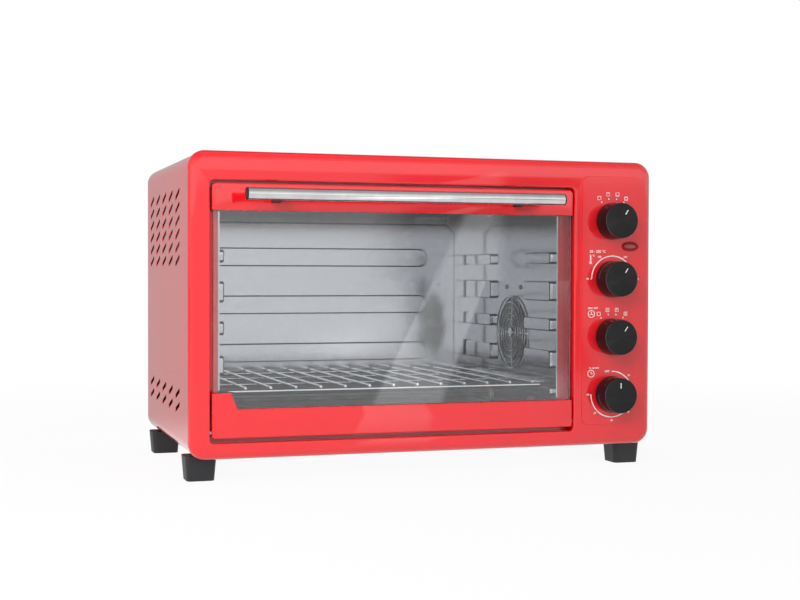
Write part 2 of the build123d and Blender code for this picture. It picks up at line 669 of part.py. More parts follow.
def make_door():
    upper_bottom = DOOR_TOP - UPPER_RAIL_HEIGHT
    with BuildPart() as upper:
        add(make_rail(upper_bottom, UPPER_RAIL_HEIGHT, -1).part)
        with BuildSketch(front_plane(DOOR_THICKNESS)):
            with Locations(*[(x_at(x), HANDLE_HEIGHT) for x in BRACKET_PLACES]):
                Circle(2.2)
        extrude(amount=DOOR_THICKNESS, mode=Mode.SUBTRACT)
    save(upper, "door_upper_rail")

    rail_top = DOOR_BOTTOM + LOWER_RAIL_HEIGHT
    with BuildPart() as lower:
        add(make_rail(DOOR_BOTTOM, LOWER_RAIL_HEIGHT, 1).part)
        with BuildSketch(front_plane(SHEET)):
            with BuildLine():
                Polyline((x_at(DOOR_LEFT), rail_top - 4), (x_at(DOOR_LEFT + TAB_FOOT), rail_top - 4),
                         (x_at(DOOR_LEFT + TAB_FOOT), rail_top), (x_at(DOOR_LEFT + TAB_WIDTH), TAB_TOP),
                         (x_at(DOOR_LEFT), TAB_TOP), close=True)
            make_face()
        extrude(amount=SHEET)
        with BuildSketch(side_plane(DOOR_LEFT - 1, HINGE_DEPTH, HINGE_HEIGHT)):
            Circle(PIN_RADIUS + 0.02)
        extrude(amount=DOOR_RIGHT - DOOR_LEFT + 2, mode=Mode.SUBTRACT)
    save(lower, "door_lower_rail")

    glass_bottom, glass_top = rail_top - GLASS_GRIP, upper_bottom + GLASS_GRIP
    with BuildPart() as glass:
        with BuildSketch(front_plane(GLASS_FRONT + GLASS_THICKNESS)):
            front_rectangle(DOOR_LEFT + 1.6, DOOR_RIGHT - 1.6, glass_bottom, glass_top)
        extrude(amount=GLASS_THICKNESS)
        chamfer(glass.edges().filter_by(Axis.Z), 0.6)
    save(glass, "door_glass")

    with BuildPart() as gaskets:
        for low, high in ((glass_bottom - 2, rail_top - 3), (upper_bottom + 3, glass_top + 2)):
            with BuildSketch(front_plane(DOOR_THICKNESS - SHEET)):
                front_rectangle(DOOR_LEFT + 6, DOOR_RIGHT - 6, low, high)
            extrude(amount=DOOR_THICKNESS - 2 * SHEET)
        with BuildSketch(front_plane(GLASS_FRONT + GLASS_THICKNESS)):
            front_rectangle(DOOR_LEFT, DOOR_RIGHT, glass_bottom, glass_top)
        extrude(amount=GLASS_THICKNESS, mode=Mode.SUBTRACT)
    save(gaskets, "glass_gaskets")

    ends = ((DOOR_LEFT + SHEET, 1), (DOOR_RIGHT - SHEET, -1))
    with BuildPart() as blocks:
        for start, inward in ends:
            with BuildSketch(side_plane(start, DOOR_THICKNESS / 2, DOOR_BOTTOM + SHEET + 6.4)):
                Rectangle(DOOR_THICKNESS - 2 * SHEET - 2.4, 9.4)
            extrude(amount=inward * 18)
        with BuildSketch(side_plane(DOOR_LEFT, HINGE_DEPTH, HINGE_HEIGHT)):
            Circle(PIN_RADIUS + 0.02)
        extrude(amount=DOOR_RIGHT - DOOR_LEFT, mode=Mode.SUBTRACT)
    save(blocks, "hinge_blocks")

    with BuildPart() as pins:
        for start, inward in ends:
            with BuildSketch(side_plane(start - inward * 11.5, HINGE_DEPTH, HINGE_HEIGHT)):
                Circle(PIN_RADIUS)
            extrude(amount=inward * 27)
    save(pins, "hinge_pins")


def make_hinge_brackets():
    places = {"left": (RECESS_LEFT - SHEET, -1), "right": (RECESS_RIGHT + SHEET, 1)}
    for side, (start, outward) in places.items():
        with BuildPart() as bracket:
            with BuildSketch(side_plane(start)):
                (depth, length), (height, tall) = span(SHEET + 0.2, RECESS_DEPTH), span(44.5, 72)
                with Locations((depth, height)):
                    RectangleRounded(length, tall, 3)
            extrude(amount=outward * 5)
            with BuildSketch(side_plane(start)):
                with Locations((HINGE_DEPTH, HINGE_HEIGHT)):
                    Circle(PIN_RADIUS + RUNNING)
                with Locations((10, 66)):
                    Circle(1.8)
            extrude(amount=outward * 5, mode=Mode.SUBTRACT)
        save(bracket, f"hinge_bracket_{side}")


def make_handle():
    axis_plane = side_plane(HANDLE_LEFT, -HANDLE_STANDOFF, HANDLE_HEIGHT)
    length = HANDLE_RIGHT - HANDLE_LEFT
    with BuildPart() as tube:
        with BuildSketch(axis_plane):
            Circle(HANDLE_RADIUS)
            Circle(HANDLE_RADIUS - SHEET, mode=Mode.SUBTRACT)
        extrude(amount=length)
    save(tube, "handle_tube")

    with BuildPart() as caps:
        for from_left, outward in ((HANDLE_LEFT, -1), (HANDLE_RIGHT, 1)):
            with BuildSketch(side_plane(from_left, -HANDLE_STANDOFF, HANDLE_HEIGHT)):
                Circle(HANDLE_RADIUS)
            extrude(amount=outward * 2.2)
            rim = caps.faces().filter_by(Axis.X).sort_by(Axis.X)[0 if outward < 0 else -1]
            fillet(rim.edges(), 1.6)
            with BuildSketch(side_plane(from_left, -HANDLE_STANDOFF, HANDLE_HEIGHT)):
                Circle(HANDLE_RADIUS - SHEET - 0.02)
            extrude(amount=-outward * 8)
    save(caps, "handle_caps")

    for side, place in zip(("left", "right"), BRACKET_PLACES):
        with BuildPart() as bracket:
            with BuildSketch(side_plane(place - BRACKET_WIDTH / 2, 0, HANDLE_HEIGHT)):
                with BuildLine():
                    top = Line((0, 7.5), (-10, 6.2))
                    Line(top @ 1, (-HANDLE_STANDOFF, 6.2))
                    Line((-HANDLE_STANDOFF, 6.2), (-HANDLE_STANDOFF, -6.2))
                    Line((-HANDLE_STANDOFF, -6.2), (-10, -6.2))
                    Line((-10, -6.2), (0, -7.5))
                    Line((0, -7.5), (0, 7.5))
                make_face()
                with Locations((-HANDLE_STANDOFF, 0)):
                    Circle(HANDLE_RADIUS + 0.02, mode=Mode.SUBTRACT)
            extrude(amount=BRACKET_WIDTH)
            with BuildSketch(front_plane(0, place, HANDLE_HEIGHT)):
                Circle(2.02)
            extrude(amount=14, mode=Mode.SUBTRACT)
        save(bracket, f"handle_bracket_{side}")

    with BuildPart() as screws:
        places = [(x_at(x), HANDLE_HEIGHT) for x in BRACKET_PLACES]
        with BuildSketch(front_plane(SHEET)):
            with Locations(*places):
                Circle(2)
        extrude(amount=SHEET + 12)
        with BuildSketch(front_plane(SHEET)):
            with Locations(*places):
                Circle(3.6)
        extrude(amount=-1.4, taper=PAN_TAPER)
        crosses = make_crosses(front_plane(SHEET + 1.4), places, 3.6)
        extrude(crosses, amount=CROSS_DEPTH, mode=Mode.SUBTRACT)
    save(screws, "handle_screws")


# Controls: a switch, its turning shaft and a hollow knob on each axis
def make_shaft_profile(clearance=0.0):
    """A round shaft with one flat, drawn about the sketch's origin."""
    Circle(SHAFT_RADIUS + clearance)
    with Locations((0, SHAFT_FLAT + clearance + 2.5)):
        Rectangle(8, 5, mode=Mode.SUBTRACT)


def make_knob(name, height, pointer):
    with BuildPart() as knob:
        profile = Plane(origin=(x_at(KNOB_X), FRONT, height), x_dir=(1, 0, 0), z_dir=(0, 0, 1))
        with BuildSketch(profile):
            with BuildLine():
                Polyline((0, KNOB_FACE + 0.5), (KNOB_FACE_RADIUS - 1.8, KNOB_FACE + 0.5),
                         (KNOB_FACE_RADIUS - 1.0, KNOB_FACE), (KNOB_FACE_RADIUS - 0.5, KNOB_FACE),
                         (KNOB_FACE_RADIUS, KNOB_FACE + 0.8), (KNOB_RADIUS - 0.5, KNOB_BACK - 3.2),
                         (KNOB_RADIUS, KNOB_BACK - 2.4), (KNOB_RADIUS, KNOB_BACK),
                         (KNOB_RADIUS - 2, KNOB_BACK), (KNOB_FACE_RADIUS - 2.2, KNOB_FACE + 3),
                         (6, KNOB_FACE + 3), (6, KNOB_BACK - 2), (0, KNOB_BACK - 2), close=True)
            make_face()
        revolve(axis=axis_along_depth(KNOB_X, height))
        with BuildSketch(front_plane(KNOB_BACK, KNOB_X, height)):
            make_shaft_profile(0.02)
        extrude(amount=KNOB_BACK - KNOB_FACE - 5, mode=Mode.SUBTRACT)
        turn = radians(pointer)
        with BuildSketch(front_plane(KNOB_FACE + 0.9, KNOB_X, height)):
            with Locations(Location((13 * sin(turn), 13 * cos(turn), 0), (0, 0, -pointer))):
                Rectangle(1.4, 7.5)
        extrude(amount=1, mode=Mode.SUBTRACT)
    save(knob, f"{name}_knob")

    with BuildPart() as shaft:
        with BuildSketch(front_plane(14, KNOB_X, height)):
            Circle(SHAFT_RADIUS)
        extrude(amount=14 + PANEL_RAISE + 2)
        with BuildSketch(front_plane(-PANEL_RAISE - 2, KNOB_X, height)):
            make_shaft_profile()
        extrude(amount=KNOB_BACK - KNOB_FACE - 6)
    save(shaft, f"{name}_shaft")


SWITCH_FRONT = SHEET - PANEL_RAISE


def make_switch_bodies():
    for name, height in zip(KNOB_NAMES, KNOB_HEIGHTS):
        here = (KNOB_X, height)
        with BuildPart() as switch:
            with BuildSketch(front_plane(SWITCH_FRONT + 1.2, *here)):
                RectangleRounded(36, 24, 3)
                with GridLocations(SWITCH_SCREW_PITCH, 1, 2, 1):
                    Circle(1.55, mode=Mode.SUBTRACT)
            extrude(amount=1.2)
            if name in ("function", "mode"):
                with BuildSketch(front_plane(SWITCH_FRONT + 24, *here)):
                    RectangleRounded(24, 30, 2)
                extrude(amount=22.8)
                with BuildSketch(front_plane(SWITCH_FRONT + 24, *here)):
                    with GridLocations(12, 8, 2, 3):
                        Rectangle(0.8, 5)
                extrude(amount=-8)
            elif name == "thermostat":
                with BuildSketch(front_plane(SWITCH_FRONT + 12, *here)):
                    RectangleRounded(24, 36, 3)
                extrude(amount=10.8)
                with BuildSketch(front_plane(SWITCH_FRONT + 17, *here)):
                    Circle(15)
                extrude(amount=5)
                with BuildSketch(front_plane(SWITCH_FRONT + 12, *here)):
                    with Locations((0, -16.5), (0, 16.5)):
                        Rectangle(6, 0.8)
                extrude(amount=-12)
            else:
                with BuildSketch(front_plane(SWITCH_FRONT + 26, *here)):
                    RectangleRounded(25, 44, 2)
                extrude(amount=24.8)
                with BuildSketch(front_plane(SWITCH_FRONT + 36, *here)):
                    Circle(19)
                extrude(amount=8)
                fillet(switch.faces().sort_by(Axis.Y)[-1].edges(), 5)
                with BuildSketch(front_plane(SWITCH_FRONT + 28, *here)):
                    Circle(3)
                extrude(amount=2)
            with BuildSketch(front_plane(16, *here)):
                Circle(SHAFT_RADIUS + RUNNING)
            extrude(amount=20, mode=Mode.SUBTRACT)
        label = {"function": "function_switch", "mode": "fan_switch"}.get(name, f"{name}_body")
        save(switch, label)


def make_lamp():
    here = (LAMP_X, LAMP_HEIGHT)
    with BuildPart() as bezel:
        with BuildSketch(front_plane(-PANEL_RAISE, *here)):
            Ellipse(LAMP_WIDTH / 2, LAMP_TALL / 2)
        extrude(amount=1.8)
        chamfer(bezel.faces().sort_by(Axis.Y)[0].edges(), 1.0)
        with BuildSketch(front_plane(-PANEL_RAISE, *here)):
            Ellipse(LAMP_WIDTH / 2 - 1.5, LAMP_TALL / 2 - 1.5)
        extrude(amount=-6)
        with BuildSketch(front_plane(6, *here)):
            Ellipse(LAMP_WIDTH / 2 - 2.6, LAMP_TALL / 2 - 2.6)
        extrude(amount=12, mode=Mode.SUBTRACT)
    save(bezel, "indicator_bezel")

    with BuildPart() as lens:
        with BuildSketch(front_plane(3, *here)):
            Ellipse(LAMP_WIDTH / 2 - 2.62, LAMP_TALL / 2 - 2.62)
        extrude(amount=5.6)
        chamfer(lens.faces().sort_by(Axis.Y)[0].edges(), 0.6)
    save(lens, "indicator_lens")

    with BuildPart() as lamp:
        with BuildSketch(front_plane(20, *here)):
            Circle(2.9)
        extrude(amount=16)
    save(lamp, "indicator_lamp")


def make_thermostat_bulb():
    height, from_left = 303.5, 418.0
    with BuildPart() as bulb:
        with BuildSketch(front_plane(210, from_left, height)):
            Circle(2.5)
        extrude(amount=85)
        with BuildSketch(front_plane(200, from_left, height)):
            with Locations((5.5, 0)):
                Rectangle(9, 1.2)
            Circle(3.6)
            Circle(2.5, mode=Mode.SUBTRACT)
        extrude(amount=6)
    save(bulb, "thermostat_bulb")


def make_mains_parts():
    with BuildPart() as gland:
        with BuildSketch(front_plane(REAR_COVER_DEPTH, GLAND_X, GLAND_HEIGHT)):
            Circle(11)
        extrude(amount=-(SHELL_DEPTH + GLAND_REACH - REAR_COVER_DEPTH), taper=8)
        fillet(gland.faces().sort_by(Axis.Y)[-1].edges(), 1.5)
        with BuildSketch(front_plane(REAR_COVER_DEPTH, GLAND_X, GLAND_HEIGHT)):
            Circle(7.9)
        extrude(amount=SHEET)
        with BuildSketch(front_plane(REAR_COVER_DEPTH - SHEET, GLAND_X, GLAND_HEIGHT)):
            Circle(10)
        extrude(amount=5)
        with BuildSketch(front_plane(REAR_COVER_DEPTH - 10, GLAND_X, GLAND_HEIGHT)):
            Circle(3.6)
        extrude(amount=-30, mode=Mode.SUBTRACT)
    save(gland, "cord_gland")

    with BuildPart() as block:
        with BuildSketch(level_plane(BASE_LEVEL + SHEET, 492, 270)):
            RectangleRounded(44, 18, 2)
            with GridLocations(13, 1, 3, 1):
                Rectangle(9, 22)
        extrude(amount=14)
        with BuildSketch(level_plane(BASE_LEVEL + SHEET + 14, 492, 270)):
            with GridLocations(13, 10, 3, 2):
                Circle(2.2)
        extrude(amount=-6, mode=Mode.SUBTRACT)
    save(block, "terminal_block")


# The same pan-head screw holds the switches, the fan's cup and the rear cover
def make_casing_screws():
    controls = [(x_at(KNOB_X) + side * SWITCH_SCREW_PITCH / 2, height)
                for side in (-1, 1) for height in KNOB_HEIGHTS]
    rear = [(x_at(x), z) for x, z in REAR_SCREWS]
    groups = ((front_plane(-PANEL_RAISE), controls, 1), (front_plane(REAR_COVER_DEPTH), rear, -1),
              (side_plane(CAVITY_RIGHT, FAN_DEPTH, FAN_HEIGHT), FAN_SCREWS, -1))
    (head_radius, head_height), (shank_radius, shank_length) = PAN_HEAD, PAN_SHANK
    with BuildPart() as screws:
        for plane, places, outward in groups:
            with BuildSketch(plane):
                with Locations(*places):
                    Circle(head_radius)
            extrude(amount=outward * head_height, taper=PAN_TAPER)
            crosses = make_crosses(plane.offset(outward * head_height), places, head_radius)
            extrude(crosses, amount=-outward * CROSS_DEPTH, mode=Mode.SUBTRACT)
            with BuildSketch(plane):
                with Locations(*places):
                    Circle(shank_radius)
            extrude(amount=-outward * shank_length)
    save(screws, "casing_screws")


make_front_frame()
make_outer_shell()
make_rear_cover()
make_base_plate()
make_feet()
make_cavity()
make_heat_shield()
make_heaters()
make_crumb_tray()
make_fan_grille()
make_fan()
make_rack()
make_door()
make_hinge_brackets()
make_handle()
for knob_name, knob_height, pointer_angle in zip(KNOB_NAMES, KNOB_HEIGHTS, POINTER_ANGLES):
    make_knob(knob_name, knob_height, pointer_angle)
make_switch_bodies()
make_lamp()
make_thermostat_bulb()
make_mains_parts()
make_casing_screws()
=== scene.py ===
# %% [markdown]
# # A red countertop oven, dressed and lit
# The measured model of the oven arrives as a fixed frame: every sheet, rod, screw and shaft is a
# mesh that rides on the body it belongs to. This lesson gives those meshes their finishes, models
# again the pieces whose roundness or print the frame only suggests, and lights the whole oven.
# Everything is in metres, with X to the user's right, Y away from the user and Z up.

# %% Load the frame
import json
import math

import bpy
from mathutils import Matrix, Vector


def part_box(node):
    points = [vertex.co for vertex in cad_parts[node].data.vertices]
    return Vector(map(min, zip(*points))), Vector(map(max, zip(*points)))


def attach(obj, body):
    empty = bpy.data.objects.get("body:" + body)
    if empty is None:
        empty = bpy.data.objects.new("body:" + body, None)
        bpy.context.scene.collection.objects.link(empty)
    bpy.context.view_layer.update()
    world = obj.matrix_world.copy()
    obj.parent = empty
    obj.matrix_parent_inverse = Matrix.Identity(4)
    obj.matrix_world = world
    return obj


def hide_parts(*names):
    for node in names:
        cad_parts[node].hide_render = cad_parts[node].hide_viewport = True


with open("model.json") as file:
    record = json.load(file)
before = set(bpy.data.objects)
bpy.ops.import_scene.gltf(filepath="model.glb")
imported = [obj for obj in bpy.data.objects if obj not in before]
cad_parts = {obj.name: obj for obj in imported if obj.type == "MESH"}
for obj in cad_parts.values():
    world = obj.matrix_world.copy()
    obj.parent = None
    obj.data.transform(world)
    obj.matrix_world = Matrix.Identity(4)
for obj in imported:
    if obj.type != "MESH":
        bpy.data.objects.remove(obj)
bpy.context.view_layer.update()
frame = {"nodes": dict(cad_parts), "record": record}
nodes = frame["nodes"]
bpy.ops.object.select_all(action="DESELECT")

# %% [markdown]
# ## Where things are
# A piece is placed the way the maker would: so far from the left side, so deep behind the front
# face, so high above the table, in millimetres. The front face is the plane just behind the raised
# control panel, so the frame's own box gives all three starting points.

# %% Places in millimetres
MM = 0.001
PANEL_RAISE = 1.0
LEFT_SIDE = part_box("front_frame")[0].x
FRONT_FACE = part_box("front_frame")[0].y + PANEL_RAISE * MM


def place(from_left, depth, height):
    """The point that lies so far from the left side, behind the front face and above the table."""
    return Vector((LEFT_SIDE + from_left * MM, FRONT_FACE + depth * MM, height * MM))


def millimetres(node):
    """A node's box as (left, right), (front, back), (bottom, top), in the same measures."""
    low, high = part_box(node)
    return (((low.x - LEFT_SIDE) / MM, (high.x - LEFT_SIDE) / MM),
            ((low.y - FRONT_FACE) / MM, (high.y - FRONT_FACE) / MM),
            (low.z / MM, high.z / MM))


print("front face at y =", round(FRONT_FACE, 4), "left side at x =", round(LEFT_SIDE, 4))

# %% [markdown]
# ## The camera
# The oven was seen from its left with a long lens, only a little above the middle of the door. The
# straight edges of the casing fix where the camera stood and how it was turned.

# %% Camera
EYE = place(-245.4, -1456.4, 225.0)
YAW, PITCH, ROLL = math.radians(-18.153), math.radians(-1.17), math.radians(0.154)
FOCAL_PIXELS, PICTURE_WIDTH, SENSOR = 1397.53, 800, 36.0

lens = bpy.data.cameras.new("camera")
lens.sensor_width = SENSOR
lens.lens = SENSOR * FOCAL_PIXELS / PICTURE_WIDTH
camera = bpy.data.objects.new("camera", lens)
bpy.context.scene.collection.objects.link(camera)
turns = ((YAW, "Z"), (math.pi / 2 + PITCH, "X"), (ROLL, "Z"))
camera.matrix_world = Matrix.Translation(EYE)
for angle, about in turns:
    camera.matrix_world = camera.matrix_world @ Matrix.Rotation(angle, 4, about)
bpy.context.scene.camera = camera
print("lens", round(lens.lens, 2), "mm")

# %% [markdown]
# ## Arithmetic for finishes
# A finish is a small network of nodes. Written as nodes it is long and hard to read, so one class
# wraps a socket and lets Python's own operators add the Math nodes: `1 - mask` is a node, and so is
# `wear * 0.3 + 0.2`. Every other node comes from one method, which sets the node's own choices first
# and then its sockets.

# %% Sockets that add up
class Value:
    """A socket of a material, with the operators that its patterns use."""

    def __init__(self, finish, socket):
        self.finish, self.socket = finish, socket

    def maths(self, operation, *others):
        return self.finish.node("Math", "Value", {"operation": operation}, [self, *others])

    def __add__(self, other):
        return self.maths("ADD", other)

    __radd__ = __add__

    def __sub__(self, other):
        return self.maths("SUBTRACT", other)

    def __rsub__(self, other):
        return self.finish.node("Math", "Value", {"operation": "SUBTRACT"}, [other, self])

    def __mul__(self, other):
        return self.maths("MULTIPLY", other)

    __rmul__ = __mul__

    def between(self, low, high):
        """0 below low, 1 above high, and smooth in between."""
        return self.finish.node("MapRange", "Result", {"interpolation_type": "SMOOTHSTEP"},
                                {"Value": self, "From Min": low, "From Max": high})


class Network:
    """A shader's node tree, to which nodes are added one call at a time."""

    def __init__(self, owner, output):
        owner.use_nodes = True
        self.tree = owner.node_tree
        self.tree.nodes.clear()
        self.output = self.tree.nodes.new(output)

    def node(self, kind, result, settings=None, sockets=None):
        """Adds a node, sets its choices and then its sockets, and returns one output as a Value."""
        made = self.tree.nodes.new("ShaderNode" + kind)
        for key, choice in (settings or {}).items():
            setattr(made, key, choice)
        pairs = enumerate(sockets) if isinstance(sockets, (list, tuple)) else (sockets or {}).items()
        for key, given in pairs:
            socket = self.socket_of(made.inputs, key)
            if isinstance(given, Value):
                self.tree.links.new(given.socket, socket)
            else:
                socket.default_value = given
        return Value(self, self.socket_of(made.outputs, result))

    def show(self, shader):
        """Joins a shader to the output."""
        self.tree.links.new(shader.socket, self.output.inputs["Surface"])

    def seen_by(self, *rays):
        """1 on the named kinds of ray, such as Is Camera Ray, and 0 on all others."""
        masks = [self.node("LightPath", ray) for ray in rays]
        total = masks[0]
        for mask in masks[1:]:
            total = total.maths("MAXIMUM", mask)
        return total

    def socket_of(self, sockets, key):
        """A socket by its number, or by name, skipping those a node's choices have switched off."""
        if isinstance(key, int):
            return sockets[key]
        return next(socket for socket in sockets if socket.name == key and socket.enabled)

    def here(self, scale=(1, 1, 1), centre=(0, 0, 0)):
        """Object coordinates in metres, moved to a centre and then stretched."""
        spot = self.node("TexCoord", "Object")
        moved = self.node("VectorMath", "Vector", {"operation": "SUBTRACT"}, [spot, tuple(centre)])
        return self.node("VectorMath", "Vector", {"operation": "MULTIPLY"}, [moved, tuple(scale)])

    def noise(self, scale, detail=2.0, roughness=0.5, stretch=(1, 1, 1)):
        return self.node("TexNoise", "Fac", None,
                         {"Vector": self.here(stretch), "Scale": scale, "Detail": detail,
                          "Roughness": roughness})

    def blend(self, mask, first, second):
        """A colour that goes from first to second as the mask goes from 0 to 1."""
        return self.node("Mix", "Result", {"data_type": "RGBA"},
                         {"Factor": mask, "A": first, "B": second})

    def bump(self, height, strength, distance):
        return self.node("Bump", "Normal", None,
                         {"Height": height, "Strength": strength, "Distance": distance})


class Finish(Network):
    """A material, and the Principled shader that most of them end in."""

    def __init__(self, name):
        self.material = bpy.data.materials.new(name)
        super().__init__(self.material, "ShaderNodeOutputMaterial")

    def surface(self, **sockets):
        """The Principled shader with its sockets, joined to the output."""
        named = {key.replace("_", " "): given for key, given in sockets.items()}
        self.show(self.node("BsdfPrincipled", "BSDF", None, named))
        return self.material


def srgb(red, green, blue):
    """A colour given in the 0 to 255 steps of a screen, as linear light."""
    def linear(step):
        part = step / 255
        return part / 12.92 if part <= 0.04045 else ((part + 0.055) / 1.055) ** 2.4
    return (linear(red), linear(green), linear(blue), 1.0)


def shade(colour, factor):
    """The same colour, lighter or darker."""
    return tuple(min(1.0, part * factor) for part in colour[:3]) + (1.0,)


# %% [markdown]
# ## Red stove enamel
# The casing is sheet steel, sprayed and baked. Baked paint is glossy but not flat: it flows into a
# faint orange peel, a millimetre or two across and a few micrometres deep, that makes reflections
# swim a little. Handling leaves it slightly duller in patches. Noise at those two scales gives both,
# and a clear coat over the colour gives the sharp mirror images that wet-looking paint has.

# %% Finish of the painted sheet
def red_enamel():
    finish = Finish("red_enamel")
    patches = finish.noise(9.0, detail=3.0)
    peel = finish.noise(420.0, detail=1.0)
    red = srgb(238, 15, 31)
    colour = finish.blend(patches.between(0.35, 0.75), shade(red, 0.96), shade(red, 1.03))
    return finish.surface(Base_Color=colour, Roughness=patches * 0.06 + 0.20,
                          Normal=finish.bump(peel, strength=0.03, distance=0.3 * MM),
                          Coat_Weight=1.0, Coat_Roughness=0.02, Coat_IOR=1.65,
                          Specular_IOR_Level=0.1)


# %% [markdown]
# ## Galvanised sheet
# The cavity and the covers are hot-dip galvanised steel. Zinc freezes in crystals a few millimetres
# across, each with its own dull sheen, and rolling leaves long faint streaks. Voronoi cells give the
# crystals, and a noise that is stretched along the sheet gives the streaks.

# %% Finish of the zinc sheet
CRYSTAL_SHEEN, STREAK_SHEEN = 0.02, 0.05


def galvanised(name="galvanised", level=1.0, roughness=0.13):
    """Zinc of a brightness, whose sheen varies about the roughness given."""
    finish = Finish(name)
    crystals = finish.node("TexVoronoi", "Color", {"feature": "F1"},
                           {"Vector": finish.here(), "Scale": 170.0, "Randomness": 1.0})
    grey = finish.node("SeparateColor", "Red", None, {"Color": crystals})
    streaks = finish.noise(14.0, detail=3.0, roughness=0.6, stretch=(0.6, 1.0, 9.0))
    fine = finish.noise(900.0, detail=1.0, stretch=(0.1, 1.0, 1.0))
    zinc = shade(srgb(200, 201, 205), level)
    colour = finish.blend(grey * 0.4 + streaks * 0.6, shade(zinc, 0.93), shade(zinc, 1.04))
    smoothest = roughness - (CRYSTAL_SHEEN + STREAK_SHEEN) / 2
    return finish.surface(Base_Color=colour, Metallic=1.0,
                          Roughness=grey * CRYSTAL_SHEEN + streaks * STREAK_SHEEN + smoothest,
                          Normal=finish.bump(fine, strength=0.03, distance=0.1 * MM))


# %% [markdown]
# ## Chrome, steel and aluminium
# The rack, the grille and the handle are bright plated steel; screws and shafts are plain steel.
# One recipe serves: a metal with a brushed grain, whose depth and roughness are what tells a plated
# bar from a turned pin.

# %% Finish of bare and plated metal
def metal(name, colour, roughness, grain, stretch=(0.04, 1.0, 1.0)):
    """A metal whose grain is so deep, and drawn out along the axis that is stretched least."""
    finish = Finish(name)
    lines = finish.noise(2600.0, roughness=0.6, stretch=stretch)
    marks = finish.noise(60.0, detail=3.0)
    tone = finish.blend(marks.between(0.3, 0.8), shade(colour, 0.9), shade(colour, 1.04))
    return finish.surface(Base_Color=tone, Metallic=1.0,
                          Roughness=lines * 0.08 + marks * 0.06 + roughness,
                          Normal=finish.bump(lines, strength=grain, distance=0.1 * MM))


# %% [markdown]
# ## Moulded plastic
# Knobs, feet, brackets and switches are moulded. A mould is spark-eroded or polished, so the surface
# has a fine even grain; where hands touch it, the grain polishes up. The grain's size and depth
# set the difference between a glossy knob and a matte foot.

# %% Finish of moulded plastic
RUBBED_SHEEN = 0.1


def plastic(name, colour, roughness, grain_scale=1500.0, grain=0.08):
    """A moulding whose sheen varies about the roughness given; a higher grain scale is finer."""
    finish = Finish(name)
    speckle = finish.noise(grain_scale, roughness=0.6)
    rubbed = finish.noise(45.0, detail=3.0)
    tone = finish.blend(rubbed.between(0.35, 0.75), shade(colour, 0.85), shade(colour, 1.2))
    return finish.surface(Base_Color=tone,
                          Roughness=rubbed * RUBBED_SHEEN + (roughness - RUBBED_SHEEN / 2),
                          Normal=finish.bump(speckle, strength=grain, distance=0.1 * MM),
                          Specular_IOR_Level=0.5)


# %% [markdown]
# ## Glass
# The door's pane is clear tempered glass. Light has to pass straight through it into the cavity, so
# it is built as a thin pane: mostly transparent, with a mirror on top that strengthens at grazing
# angles. A pane has two faces, so it mirrors more than one face would. Faint wiped smears break the
# mirror up.

# %% Finish of the door glass
TWO_FACES = 1.6


def pane():
    finish = Finish("door_glass")
    smears = finish.noise(16.0, detail=4.0, roughness=0.6, stretch=(1.0, 1.0, 0.35))
    clear = finish.node("BsdfTransparent", "BSDF", None, {"Color": (0.955, 0.962, 0.965, 1.0)})
    mirror = finish.node("BsdfGlossy", "BSDF", None,
                         {"Color": (0.95, 0.97, 0.98, 1.0), "Roughness": smears * 0.03})
    grazing = finish.node("Fresnel", "Fac", None, {"IOR": 1.5})
    mirrored = grazing * TWO_FACES + smears * 0.01
    finish.show(finish.node("MixShader", "Shader", None, [mirrored, clear, mirror]))
    return finish.material


# %% [markdown]
# ## Print, lamp, tray and heated parts
# The scales are printed in off-white ink, which is matt and slightly broken over the paint. The
# lamp's lens is red plastic that lets light through, over a neon lamp. Heating rods are steel that
# heat has browned, held in chalky ceramic, and the crumb tray is speckled dark grey, which makes
# the foot of the cavity dark.

# %% Finish of ink, lens, ceramic, rods and tray
def ink():
    finish = Finish("white_ink")
    breaks = finish.noise(2200.0)
    tone = finish.blend(breaks.between(0.3, 0.7), srgb(246, 240, 238), srgb(255, 253, 252))
    return finish.surface(Base_Color=tone, Roughness=breaks * 0.1 + 0.45,
                          Normal=finish.bump(breaks, strength=0.05, distance=0.05 * MM))


def red_lens(name="lamp_red", colour=srgb(160, 2, 14), see_through=0.0):
    finish = Finish(name)
    facets = finish.node("TexWave", "Fac", {"wave_type": "BANDS", "bands_direction": "X"},
                         {"Vector": finish.here(), "Scale": 180.0, "Distortion": 0.0})
    tone = finish.blend(facets, shade(colour, 0.7), shade(colour, 1.5))
    return finish.surface(Base_Color=tone, Roughness=facets * 0.1 + 0.12,
                          Normal=finish.bump(facets, strength=0.3, distance=0.3 * MM),
                          Specular_IOR_Level=0.25, Transmission_Weight=see_through, IOR=1.49)


def ceramic():
    finish = Finish("ceramic")
    chalk = finish.noise(500.0, detail=3.0, roughness=0.6)
    tone = finish.blend(chalk, srgb(214, 208, 192), srgb(238, 234, 222))
    return finish.surface(Base_Color=tone, Roughness=chalk * 0.15 + 0.6,
                          Normal=finish.bump(chalk, strength=0.15, distance=0.2 * MM))


def heated_steel():
    finish = Finish("heater_steel")
    scale = finish.noise(120.0, detail=4.0, roughness=0.6, stretch=(0.3, 1.0, 1.0))
    tone = finish.blend(scale.between(0.3, 0.7), srgb(88, 80, 74), srgb(136, 126, 116))
    return finish.surface(Base_Color=tone, Metallic=0.8, Roughness=scale * 0.2 + 0.35,
                          Normal=finish.bump(scale, strength=0.1, distance=0.2 * MM))


# The crumb tray's speckled dark grey makes the foot of the cavity dark.
def dark_enamel():
    finish = Finish("dark_enamel")
    speck = finish.noise(700.0)
    cloud = finish.noise(20.0, detail=3.0)
    tone = finish.blend(speck.between(0.62, 0.72), srgb(62, 63, 66), srgb(96, 97, 100))
    return finish.surface(Base_Color=tone, Roughness=cloud * 0.15 + 0.25,
                          Normal=finish.bump(speck, strength=0.05, distance=0.2 * MM))


